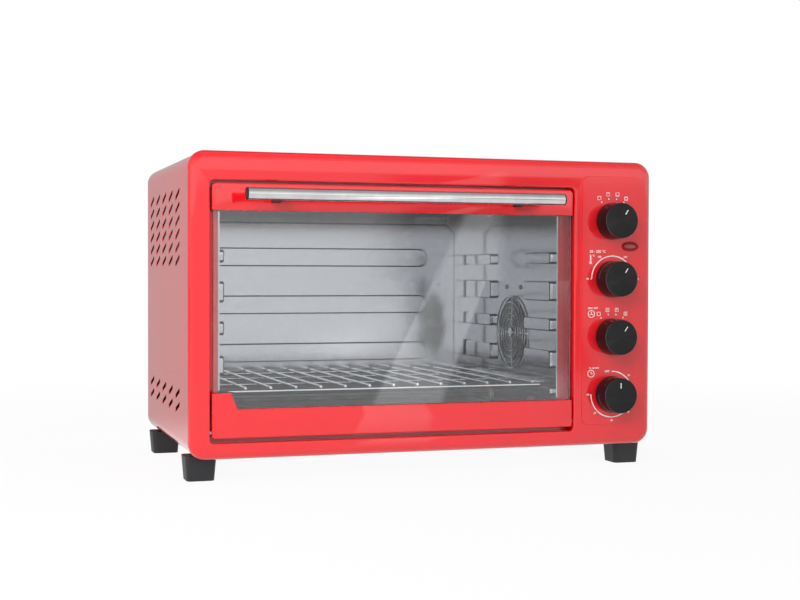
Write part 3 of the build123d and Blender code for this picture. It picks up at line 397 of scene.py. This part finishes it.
# %% Make every finish once
finishes = {
    "red_enamel": red_enamel(),
    "galvanised": galvanised(),
    # The ceiling's zinc is a darker copy of the walls': painted shade at the top of the cavity.
    "ceiling_painted_shade": galvanised("ceiling_painted_shade", level=0.7, roughness=0.25),
    # The fan and its cup wear a pale matt grey that is painted light, brightening the shaded cup.
    "fan_painted_light": plastic("fan_painted_light", srgb(236, 237, 241), 0.4),
    "bright_tube": metal("bright_tube", srgb(212, 211, 212), 0.02, grain=0.02),
    "glass": pane(),
    "chrome": metal("chrome", srgb(226, 227, 230), 0.08, grain=0.02),
    "black_plastic": plastic("black_plastic", srgb(22, 22, 24), 0.30),
    "foot_plastic": plastic("foot_plastic", srgb(34, 34, 37), 0.52, grain_scale=1100.0, grain=0.2),
    "dark_enamel": dark_enamel(),
    "heater_steel": heated_steel(),
    "ceramic": ceramic(),
    "steel": metal("steel", srgb(180, 181, 184), 0.28, grain=0.08),
    "rubber": plastic("rubber", srgb(26, 26, 27), 0.62, grain_scale=800.0, grain=0.25),
    "lamp_red": red_lens(),
    "switch_plastic": plastic("switch_plastic", srgb(206, 200, 186), 0.5),
    "motor_steel": metal("motor_steel", srgb(96, 97, 101), 0.35, grain=0.2, stretch=(12.0, 0.3, 0.3)),
    "aluminium": metal("aluminium", srgb(204, 205, 208), 0.22, grain=0.1),
    "ink": ink(),
    # The knobs' chamfers get a greyish metal: a painted highlight round each knob's face.
    "knob_rim_painted_highlight": metal("knob_rim_painted_highlight", srgb(102, 90, 94), 0.2, grain=0.02),
    "lens": red_lens("lens", srgb(196, 104, 98), see_through=0.3),
}
print(len(finishes), "finishes")

# %% [markdown]
# ## Smooth curves on the frame's meshes
# The frame's meshes are loose triangles, so each one shows as a facet. A Weld modifier joins them
# again, and an Edge Split keeps real edges crisp while gentle bends shade as smooth curves. Both are
# live modifiers, so the frame's own mesh is untouched. Each node's record names its finish. Four
# nodes wear a finish of their own: the handle's tube is brighter than the other plated steel, the
# cavity's ceiling is a darker, duller copy of the walls' zinc, which is painted shade, and the fan
# and its cup are pale matt grey, which is painted light in the shaded cup.

# %% Dress the frame
SMOOTH_BELOW = math.radians(32)
WELD_GAP = 0.02


def dress(name, material):
    """Gives a frame mesh its finish and lets its gentle bends shade as curves."""
    piece = nodes[name]
    piece.data.materials.clear()
    piece.data.materials.append(material)
    piece.data.polygons.foreach_set("use_smooth", [True] * len(piece.data.polygons))
    weld = piece.modifiers.new("weld", "WELD")
    weld.merge_threshold = WELD_GAP * MM
    split = piece.modifiers.new("crisp", "EDGE_SPLIT")
    split.split_angle = SMOOTH_BELOW


slot_of = {part["node"]: part["material_slot"] for part in frame["record"]["subparts"]}
# The ceiling's darker zinc is painted shade; the fan's pale grey is painted light.
own_finish = {"handle_tube": "bright_tube", "cavity_ceiling": "ceiling_painted_shade",
              "fan_cup": "fan_painted_light", "fan_blade": "fan_painted_light"}
for name in nodes:
    dress(name, finishes[own_finish.get(name, slot_of[name])])
print("dressed", len(nodes), "nodes")

# %% [markdown]
# ## Working on a mesh by selection
# Modelling by hand is: add a primitive, pick faces or edges, and extrude, inset or bevel them. In a
# script the picking is done by a rule on the place or the normal. These helpers add a primitive at
# its real size, select by such a rule, and finish a piece with its finish, its body and its name.

# %% Selection helpers
DOUBLES_GAP = 0.002
ROUND_ABOVE = math.radians(30)


def start(name):
    """Names the primitive that was just added and puts its place into its mesh."""
    piece = bpy.context.active_object
    piece.name = name
    bpy.ops.object.transform_apply(location=True, rotation=True, scale=True)
    return piece


def pick(piece, rule):
    """Selects the faces whose centre and normal satisfy the rule, and enters edit mode."""
    mesh = piece.data
    for group in (mesh.vertices, mesh.edges, mesh.polygons):
        group.foreach_set("select", [False] * len(group))
    for face in mesh.polygons:
        face.select = rule(face.center, face.normal)
    bpy.context.tool_settings.mesh_select_mode = (False, False, True)
    bpy.ops.object.mode_set(mode="EDIT")


def pick_all(piece):
    """Selects the whole mesh and enters edit mode."""
    pick(piece, lambda centre, normal: True)


def leave():
    """Goes back from edit mode to object mode."""
    bpy.ops.object.mode_set(mode="OBJECT")


def clean(piece):
    """Merges doubles and turns every face outwards."""
    pick_all(piece)
    bpy.ops.mesh.remove_doubles(threshold=DOUBLES_GAP * MM)
    bpy.ops.mesh.normals_make_consistent(inside=False)
    leave()


def soften(piece, width, segments=2):
    """Rounds the sharp edges of the active piece."""
    modifier = piece.modifiers.new("soft edges", "BEVEL")
    modifier.width, modifier.segments = width * MM, segments
    modifier.limit_method, modifier.angle_limit = "ANGLE", ROUND_ABOVE
    modifier.harden_normals = False
    bpy.ops.object.modifier_apply(modifier=modifier.name)


def join(pieces, name):
    """Makes one piece of several."""
    for piece in pieces:
        piece.select_set(True)
    bpy.context.view_layer.objects.active = pieces[0]
    if len(pieces) > 1:
        bpy.ops.object.join()
    pieces[0].name = name
    return pieces[0]


def finish_piece(piece, material, body, replaced=()):
    """Shades a piece's gentle bends smooth, gives it its finish and body, and hides the nodes it
    replaces.
    """
    bpy.ops.object.shade_smooth_by_angle(angle=SMOOTH_BELOW)
    piece.data.materials.clear()
    piece.data.materials.append(material)
    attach(piece, body)
    if replaced:
        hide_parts(*replaced)
    piece.select_set(False)


# %% [markdown]
# ## The knobs
# Each knob is a hollow black moulding that tapers a little towards the user, with a chamfer round a
# face that is turned in fine rings. The chamfer and the rim's outer edge wear a greyish metal finish
# that is a painted highlight. The rings are what catch the light in bow-tie streaks.
# The body is a cylinder: its front face is extruded and shrunk for the taper and for the chamfer,
# then inset and pushed in for the dish. A white bar, raised from the dish's floor, is the pointer.

# %% Finish of a turned knob
RING_PITCH = 0.45


def knob_finish(control, centre):
    finish = Finish(control + "_knob_black")
    flat = finish.here((1, 0, 1), centre)
    from_axis = finish.node("VectorMath", "Value", {"operation": "LENGTH"}, [flat])
    rings = (from_axis * (2 * math.pi / (RING_PITCH * MM))).maths("SINE")
    rubbed = finish.noise(60.0, detail=3.0)
    tone = finish.blend(rubbed.between(0.35, 0.75), srgb(9, 9, 11), srgb(15, 15, 17))
    return finish.surface(Base_Color=tone, Roughness=rubbed * 0.06 + 0.14, Specular_IOR_Level=0.26,
                          Normal=finish.bump(rings, strength=0.5, distance=0.06 * MM))


# %% One knob
KNOB_SIDES, KNOB_SKIRT, KNOB_TAPER = 96, 2.6, 1.1
KNOB_CHAMFER, KNOB_RIM, KNOB_DISH, KNOB_ROUNDING = 0.4, 0.9, 0.4, 0.18
HIGHLIGHT_RIM_SHARE = 0.3
FACES_USER, FACES_SIDEWAYS = -0.95, -0.3


def knob_place(control):
    """How far from the left side, and how high, a knob's axis is."""
    (left, right), _, (low, high) = millimetres(control + "_knob")
    return (left + right) / 2, (low + high) / 2


def push_front(distance, shrink_from, shrink_to):
    """Extrudes the selected front face towards the user and shrinks it."""
    bpy.ops.mesh.extrude_region_move(TRANSFORM_OT_translate={"value": (0, -distance * MM, 0)})
    scale = shrink_to / shrink_from
    bpy.ops.transform.resize(value=(scale, 1, scale))


def make_knob(control):
    (left, right), (front, back), _ = millimetres(control + "_knob")
    x, z = knob_place(control)
    radius = (right - left) / 2
    face_radius = radius - KNOB_TAPER
    bpy.ops.mesh.primitive_cylinder_add(vertices=KNOB_SIDES, radius=radius * MM, depth=KNOB_SKIRT * MM,
                                        location=place(x, back - KNOB_SKIRT / 2, z),
                                        rotation=(math.pi / 2, 0, 0))
    knob = start(control + "_knob_cap")
    pick(knob, lambda centre, normal: normal.y < FACES_USER)
    push_front(back - front - KNOB_SKIRT - KNOB_CHAMFER, radius, face_radius)
    push_front(KNOB_CHAMFER, face_radius, face_radius - KNOB_CHAMFER)
    bpy.ops.mesh.inset(thickness=KNOB_RIM * MM, depth=0)
    bpy.ops.mesh.inset(thickness=KNOB_DISH * MM, depth=-KNOB_DISH * MM)
    leave()
    soften(knob, KNOB_ROUNDING)
    centre = place(x, 0, z)
    finish_piece(knob, knob_finish(control, centre), control + "_control",
                 [control + "_knob"])
    # A second finish paints the highlight on the chamfer: greyish metal on its faces and the rim's outer
    # edge.
    knob.data.materials.append(finishes["knob_rim_painted_highlight"])
    for face in knob.data.polygons:
        from_axis = math.hypot(face.center.x - centre.x, face.center.z - centre.z) / MM
        outside = from_axis > face_radius - KNOB_CHAMFER - KNOB_RIM * HIGHLIGHT_RIM_SHARE
        face.material_index = int(outside and FACES_USER < face.normal.y < FACES_SIDEWAYS)


# %% One pointer
POINTER_ANGLES = {"function": 33.0, "thermostat": 33.0, "mode": 33.0, "timer": 0.0}
POINTER_RADIUS, POINTER_LENGTH, POINTER_WIDTH, POINTER_THICKNESS = 11.4, 6.0, 1.05, 0.4
POINTER_ROUNDING = 0.12


def clock(x, z, radius, angle):
    """The point at a radius from a knob's axis, at an angle clockwise from the top."""
    return x + radius * math.sin(math.radians(angle)), z + radius * math.cos(math.radians(angle))


def make_pointer(control, angle):
    """A raised white bar on the floor of the knob's dish."""
    front = millimetres(control + "_knob")[1][0]
    across, up = clock(*knob_place(control), POINTER_RADIUS, angle)
    bpy.ops.mesh.primitive_cube_add(size=1, location=place(across, front + KNOB_DISH, up),
                                    rotation=(0, math.radians(angle), 0))
    pointer = bpy.context.active_object
    pointer.scale = Vector((POINTER_WIDTH, POINTER_THICKNESS, POINTER_LENGTH)) * MM
    start(control + "_pointer")
    soften(pointer, POINTER_ROUNDING, 3)
    finish_piece(pointer, finishes["ink"], control + "_control")


# %% Four knobs with their pointers
for control, angle in POINTER_ANGLES.items():
    make_knob(control)
    make_pointer(control, angle)
print("made", len(POINTER_ANGLES), "knobs with their pointers")

# %% [markdown]
# ## The printed scales
# Round each knob the panel is printed in white: ticks and small pictures for the switches, and arcs
# with numbers for the heat and the time. Print is a layer of ink, so each mark is a very thin solid
# on the panel's face: bars are flattened cubes, arcs are a small section spun round the knob's axis,
# and numbers are text turned into a mesh.

# %% Marks of ink
INK, INK_SUNK, INK_BOLD = 0.08, 0.02, 0.07
INK_DEPTH = -PANEL_RAISE - INK / 2 + INK_SUNK
ARC_STEP, ARC_FEWEST_STEPS = 6, 6
marks = []


def ink_bar(x, z, width, height, angle=0.0):
    """A bar of ink, turned clockwise by an angle."""
    bpy.ops.mesh.primitive_cube_add(size=1, location=place(x, INK_DEPTH, z),
                                    rotation=(0, math.radians(angle), 0))
    bar = bpy.context.active_object
    bar.scale = Vector((width, INK, height)) * MM
    marks.append(start("bar"))
    bar.select_set(False)


def ink_arc(x, z, radius, width, first, last):
    """A band of ink round a point, from one clock angle to another."""
    turn_by = math.radians(first)
    across, up = clock(x, z, radius, first)
    bpy.ops.mesh.primitive_plane_add(size=1, location=place(across, INK_DEPTH, up),
                                     rotation=(0, turn_by + math.pi / 2, 0))
    arc = bpy.context.active_object
    arc.scale = Vector((width, INK, 1)) * MM
    marks.append(start("arc"))
    pick_all(arc)
    steps = max(ARC_FEWEST_STEPS, round(abs(last - first) / ARC_STEP))
    bpy.ops.mesh.spin(steps=steps, angle=math.radians(first - last),
                      center=place(x, INK_DEPTH, z), axis=(0, 1, 0))
    leave()
    clean(arc)
    arc.select_set(False)


def ink_text(words, x, z, size):
    """Bold letters or numbers, centred on a point."""
    bpy.ops.object.text_add(location=place(x, INK_DEPTH, z), rotation=(math.pi / 2, 0, 0))
    text = bpy.context.active_object
    text.data.body, text.data.size, text.data.extrude = words, size * MM, INK * MM / 2
    text.data.align_x, text.data.align_y, text.data.resolution_u = "CENTER", "CENTER", 3
    text.data.offset = INK_BOLD * MM
    bpy.ops.object.convert(target="MESH")
    marks.append(start("text"))
    clean(marks[-1])
    marks[-1].select_set(False)


def print_scale(control):
    """Joins the marks made so far into one printed scale."""
    bpy.ops.object.select_all(action="DESELECT")
    scale = join(marks, control + "_scale")
    finish_piece(scale, finishes["ink"], "cabinet")
    print(scale.name, "has", len(marks), "marks and", len(scale.data.polygons), "faces")
    marks.clear()


# %% Pictures of what each switch position does
SWITCH_TICKS = (-33, -11, 11, 33)
TICK_RADIUS, TICK_WIDTH, TICK_LENGTH = 25.9, 1.4, 1.6
PICTURE_RADIUS, PICTURE_SIZE, PICTURE_LINE = 31.4, 3.9, 0.55
ROD_HEIGHT, ROD_SHARE, CROSS_SHARE = 1.3, 0.6, 0.5
UPPER, LOWER, BOTH = (ROD_HEIGHT,), (-ROD_HEIGHT,), (ROD_HEIGHT, -ROD_HEIGHT)
PICTURES = {"function": (((), False), (UPPER, False), (LOWER, False), (BOTH, False)),
            "mode": (((), False), ((), True), (UPPER, True), (BOTH, True))}


def ink_picture(x, z, rods, fan):
    """An oven's outline as a square, with heating rods at the heights given, and a fan's cross."""
    half = PICTURE_SIZE / 2
    for side in (-1, 1):
        ink_bar(x + side * half, z, PICTURE_LINE, PICTURE_SIZE + PICTURE_LINE)
        ink_bar(x, z + side * half, PICTURE_SIZE, PICTURE_LINE)
    for height in rods:
        ink_bar(x, z + height, PICTURE_SIZE * ROD_SHARE, PICTURE_LINE)
    if fan:
        for angle in (45, -45):
            ink_bar(x, z, PICTURE_LINE, PICTURE_SIZE * CROSS_SHARE, angle)


def ink_pictures(control):
    """A tick and a picture at each of a switch's four positions."""
    x, z = knob_place(control)
    for angle, (rods, fan) in zip(SWITCH_TICKS, PICTURES[control]):
        ink_bar(*clock(x, z, TICK_RADIUS, angle), TICK_WIDTH, TICK_LENGTH, angle)
        ink_picture(*clock(x, z, PICTURE_RADIUS, angle), rods, fan)


# %% Signs of a fan, a thermometer and a clock
SIGN_RADIUS, SIGN_LINE = 4.0, 0.7
BLADE_RADIUS, BLADE_WIDTH, BLADE_LENGTH = 1.4, 0.8, 2.4
BULB_RADIUS, BULB_LINE, BULB_HEART = 1.1, 1.0, 1.2
TUBE_WIDTH, TUBE_LENGTH, TUBE_ABOVE = 1.3, 8.2, 4.8
DEGREE_WIDTH, DEGREE_LINE, DEGREE_ASIDE, DEGREE_HEIGHTS = 1.2, 0.45, 1.4, (3.8, 5.6, 7.4)
HAND_LINE, HAND_UP, HAND_ASIDE = 0.6, (1.0, 2.6), (0.9, -0.2, 2.2)


def beside(control, across, up):
    """The panel's point so far to the right of a knob's axis and above it."""
    x, z = knob_place(control)
    return x + across, z + up


def ink_ring(x, z):
    """The ring round a sign."""
    ink_arc(x, z, SIGN_RADIUS, SIGN_LINE, 0, 360)


def fan_sign(x, z):
    """Three blades in a ring."""
    ink_ring(x, z)
    for blade in (0, 120, 240):
        ink_bar(*clock(x, z, BLADE_RADIUS, blade), BLADE_WIDTH, BLADE_LENGTH, blade)


def thermometer_sign(x, z):
    """A bulb, the tube above it, and three lines of a scale beside the tube."""
    ink_arc(x, z, BULB_RADIUS, BULB_LINE, 0, 360)
    ink_bar(x, z, BULB_HEART, BULB_HEART)
    ink_bar(x, z + TUBE_ABOVE, TUBE_WIDTH, TUBE_LENGTH)
    for height in DEGREE_HEIGHTS:
        ink_bar(x + DEGREE_ASIDE, z + height, DEGREE_WIDTH, DEGREE_LINE)


def clock_sign(x, z):
    """A dial with one hand up and one to the right."""
    ink_ring(x, z)
    middle, length = HAND_UP
    ink_bar(x, z + middle, HAND_LINE, length)
    across, up, length = HAND_ASIDE
    ink_bar(x + across, z + up, length, HAND_LINE)


# %% The function switch's scale
ink_pictures("function")
print_scale("function")

# %% The fan switch's scale
FAN_TITLE, FAN_TITLE_SIZE, FAN_SIGN = (-24.4, 32.9), 2.9, (-26.4, 26.4)
ink_pictures("mode")
ink_text("ON / OFF", *beside("mode", *FAN_TITLE), FAN_TITLE_SIZE)
fan_sign(*beside("mode", *FAN_SIGN))
print_scale("mode")

# %% The thermostat's scale
ARC_RADIUS, ARC_WIDTH = 26.4, 1.25
NOTCH_RADIUS, NOTCH_WIDTH, NOTCH_LENGTH = ARC_RADIUS + 0.6, 0.7, 1.6
NUMBER_SIZE, NOTCHES_APART = 3.0, 30
DEGREES = ((-90, "50", 31.4), (-33, "100", 30.2), (33, "200", 30.2), (90, "250", 31.4))
HEAT_TITLE, HEAT_TITLE_SIZE = (-18.8, 31.4), 4.2
DEGREE_SIGN, DEGREE_SIGN_SIZE, THERMOMETER = (-24.0, 26.6), 2.8, (-27.8, 18.8)
x, z = knob_place("thermostat")
ink_arc(x, z, ARC_RADIUS, ARC_WIDTH, -90, 90)
for angle, words, radius in DEGREES:
    ink_text(words, *clock(x, z, radius, angle), NUMBER_SIZE)
for angle in range(-90, 91, NOTCHES_APART):
    ink_bar(*clock(x, z, NOTCH_RADIUS, angle), NOTCH_WIDTH, NOTCH_LENGTH, angle)
ink_text("50 - 250 °C", *beside("thermostat", *HEAT_TITLE), HEAT_TITLE_SIZE)
ink_text("°C", *beside("thermostat", *DEGREE_SIGN), DEGREE_SIGN_SIZE)
thermometer_sign(*beside("thermostat", *THERMOMETER))
print_scale("thermostat")

# %% The timer's scale
MINUTES, MINUTES_APART, MINUTES_RADIUS = ("10", "20", "30", "40", "50", "60"), 45, 30.4
OFF_MARK, OFF_SIZE = (-6.2, ARC_RADIUS), 3.4
TIME_TITLE, TIME_TITLE_SIZE, CLOCK_SIGN = (-22.4, 30.6), 2.7, (-26.4, 24.2)
x, z = knob_place("timer")
ink_arc(x, z, ARC_RADIUS, ARC_WIDTH, 0, MINUTES_APART * len(MINUTES))
for step, words in enumerate(MINUTES, 1):
    angle = MINUTES_APART * step
    ink_text(words, *clock(x, z, MINUTES_RADIUS, angle), NUMBER_SIZE)
    ink_bar(*clock(x, z, NOTCH_RADIUS, angle), NOTCH_WIDTH, NOTCH_LENGTH, angle)
ink_text("OFF", *beside("timer", *OFF_MARK), OFF_SIZE)
ink_text("0 - 60 MIN", *beside("timer", *TIME_TITLE), TIME_TITLE_SIZE)
clock_sign(*beside("timer", *CLOCK_SIGN))
print_scale("timer")

# %% [markdown]
# ## The lamp's lens
# In the oval bezel sits a clear red lens with a shallow dome and ribs moulded inside, so that the
# lamp looks bright from any angle. The dome is the front half of a flattened sphere, cut off with
# bisect and closed at the back.

# %% Domed lens
DOME = 1.6
(left, right), (front, _), (low, high) = millimetres("indicator_lens")
middle = place((left + right) / 2, front + DOME, (low + high) / 2)
bpy.ops.mesh.primitive_uv_sphere_add(segments=48, ring_count=24, radius=1, location=middle,
                                     rotation=(math.pi / 2, 0, 0))
dome = bpy.context.active_object
dome.scale = Vector(((right - left) / 2, (high - low) / 2, DOME)) * MM
start("lamp_dome")
pick_all(dome)
bpy.ops.mesh.bisect(plane_co=middle, plane_no=(0, 1, 0), clear_outer=True, use_fill=True)
leave()
clean(dome)
finish_piece(dome, finishes["lens"], "cabinet", ["indicator_lens"])
print("lamp's lens", round(right - left, 1), "by", round(high - low, 1), "mm")

# %% [markdown]
# ## The stage
# A catalogue picture stands the oven on seamless white. The floor is a large pale plane, and it and
# the world are plain white to the camera. The world gives only a weak light, so that colours come
# out as they were mixed, and close to the oven the floor keeps a little of its soft shadow. Shiny
# sides see more of the studio: pale grey behind the oven, and in front of it a bright wall, a
# slanted strip light and a band that no lamp reaches.

# %% What shiny sides see of the studio
WHITE = (1.0, 1.0, 1.0, 1.0)
BEHIND_BRIGHT, STRIP_BRIGHT, UNLIT = 0.47, 0.8, 0.55
UNLIT_LEFT, UNLIT_RIGHT = (0.285, 0.322), (0.44, 0.42)


def sunk(away, near, far):
    """1, but behind the oven it sinks to a pale grey, beyond the reach of the lamps."""
    return 1 - away.between(near, far) * (1 - BEHIND_BRIGHT)


def unlit(right):
    """1 where the studio has no lamp: a band to the right, which darkens one end of the rear wall."""
    return right.between(*UNLIT_LEFT) * right.between(*UNLIT_RIGHT)


def axis(network, letter, coordinates):
    """One of a point's or a direction's coordinates."""
    return network.node("SeparateXYZ", letter, None, [network.node("TexCoord", coordinates)])


def stand_in(network, kind, mirrored):
    """A white shader with the given strength on mirrored rays, and the mask of the rays that see it."""
    glossy = network.seen_by("Is Glossy Ray")
    bright = network.node(kind, kind, None, {"Color": WHITE, "Strength": 1 + glossy * (mirrored - 1)})
    return bright, network.seen_by("Is Camera Ray", "Is Glossy Ray", "Is Transmission Ray")


# %% [markdown]
# ## The floor
# The strip light's mirror image runs on over the floor, between two straight edges that are almost
# parallel. Each is a slope and the places where it begins and ends. The unlit band fans out from a
# point behind the oven, so that it meets the band in the sky at the horizon: there the sky reads the
# sine of a direction, and a distance across over a distance away is its tangent.

# %% Floor
FLOOR_SIZE, PAPER, FLOOR_SINKS = 60, (0.9, 0.9, 0.9, 1.0), (-0.1, 0.6)
STRIP_LEFT_EDGE, STRIP_RIGHT_EDGE = (0.358, -0.160, -0.152), (0.40, -0.065, -0.08)
STRIP_BEGINS, BAND_BEGINS = (-0.2, -0.6), (-1.0, -2.0)
BAND_FROM, SINE_PER_TANGENT = (-0.5, 1.5), 0.94
SHADOW_FADES, SHADOW_GONE, SHADOW_SHARE = 0.45, 1.6, 0.07


def straight_edge(right, away, slope, begins, ends):
    """A soft straight edge across the floor."""
    return (right + away * slope).between(begins, ends)


bpy.ops.mesh.primitive_plane_add(size=FLOOR_SIZE, location=(0, 0, 0))
floor = start("floor")
paper = Finish("white_paper")
right, away = axis(paper, "X", "Object"), axis(paper, "Y", "Object")
strip = straight_edge(right, away, *STRIP_LEFT_EDGE) * straight_edge(right, away, *STRIP_RIGHT_EDGE)
strip = strip * away.between(*STRIP_BEGINS) * STRIP_BRIGHT
bearing = (right - BAND_FROM[0]).maths("DIVIDE", BAND_FROM[1] - away) * SINE_PER_TANGENT
darkened = unlit(bearing) * away.between(*BAND_BEGINS) * UNLIT
bright, direct = stand_in(paper, "Emission", sunk(away, *FLOOR_SINKS) - darkened + strip)
matt = paper.node("BsdfDiffuse", "BSDF", None, {"Color": PAPER})
from_oven = paper.node("VectorMath", "Value", {"operation": "LENGTH"}, [paper.here()])
white_share = from_oven.between(SHADOW_FADES, SHADOW_GONE) * SHADOW_SHARE + (1 - SHADOW_SHARE)
paper.show(paper.node("MixShader", "Shader", None, [direct * white_share, matt, bright]))
floor.data.materials.append(paper.material)
floor.select_set(False)
print("floor", FLOOR_SIZE, "m wide")

# %% [markdown]
# ## The world
# Directions are read as right, away and up, each from -1 to 1. The wall and the strip light stand in
# front of the oven, where away is below 0. The wall begins just above the horizon, the unlit band
# ends there, and high up the studio's ceiling is darker than its walls.

# %% World
SKY_LIGHT, WALL_BRIGHT, CEILING_BRIGHT = 0.12, 0.6, 0.55
IN_FRONT, WALL_FOOT, WALL_TOP = (0.0, -0.3), (0.055, 0.075), (0.3, 0.16)
STRIP_SLOPE, STRIP_LEFT, STRIP_RIGHT = 0.43, (0.334, 0.342), (0.385, 0.37)
BAND_TOP, CEILING_EDGE, SKY_SINKS = (0.07, 0.045), (0.5, 0.8), (-0.1, 0.7)
world = bpy.data.worlds.new("studio")
bpy.context.scene.world = world
sky = Network(world, "ShaderNodeOutputWorld")
right, away, up = (axis(sky, letter, "Generated") for letter in "XYZ")
in_front = away.between(*IN_FRONT)
wall = up.between(*WALL_FOOT) * up.between(*WALL_TOP) * in_front * WALL_BRIGHT
strip = (right - up * STRIP_SLOPE).between(*STRIP_LEFT) * right.between(*STRIP_RIGHT) * in_front
darkened = unlit(right) * in_front * up.between(*BAND_TOP) * UNLIT
ceiling = up.between(*CEILING_EDGE) * (1 - CEILING_BRIGHT)
level = sunk(away, *SKY_SINKS) - darkened + wall - ceiling + strip * STRIP_BRIGHT
full, direct = stand_in(sky, "Background", level)
dim = sky.node("Background", "Background", None, {"Color": WHITE, "Strength": SKY_LIGHT})
sky.show(sky.node("MixShader", "Shader", None, [direct, dim, full]))
bpy.context.scene.view_settings.view_transform = "Standard"
print("world lights at", SKY_LIGHT)

# %% [markdown]
# ## Studio light
# A wide soft box in front, to the left and above, lights the face, so that the red grows deeper to
# the right and downwards. A small firm one from the right throws the faint shadows of the handle and
# the knobs down to the left. A weak one fills from the left, one above lights the top and one behind
# lights the back. None is seen in a mirrored ray: what shiny sides show of the studio, its bright
# wall and its slanted strip light, is in the sky and the floor.

# %% Lamps
def softbox(name, spot, aim, size, power, spread=180):
    """A rectangular lamp that faces a point; spread is the width of its beam in degrees."""
    lamp = bpy.data.lights.new(name, "AREA")
    lamp.shape = "RECTANGLE"
    lamp.size, lamp.size_y = size
    lamp.energy, lamp.spread = power, math.radians(spread)
    made = bpy.data.objects.new(name, lamp)
    bpy.context.scene.collection.objects.link(made)
    made.location = spot
    made.rotation_euler = (Vector(aim) - Vector(spot)).to_track_quat("-Z", "Y").to_euler()
    made.visible_glossy = False
    print("soft box", name, "of", power, "W")


softbox("key", spot=(0.85, -2.1, 0.72), aim=(-0.73, -0.15, 0.28), size=(0.5, 0.45), power=2.2, spread=62)
softbox("front", spot=(-1.15, -1.65, 1.2), aim=(0, -0.1, 0.15), size=(1.3, 1.0), power=29)
softbox("fill", spot=(-1.35, -0.35, 0.5), aim=(-0.2, 0, 0.15), size=(0.9, 0.9), power=3.4)
softbox("above", spot=(0.1, -0.1, 2.4), aim=(0, 0, 0.3), size=(1.6, 1.2), power=15)
softbox("rear", spot=(-0.6, 2.0, 1.3), aim=(0, 0, 0.15), size=(1.4, 1.0), power=14)
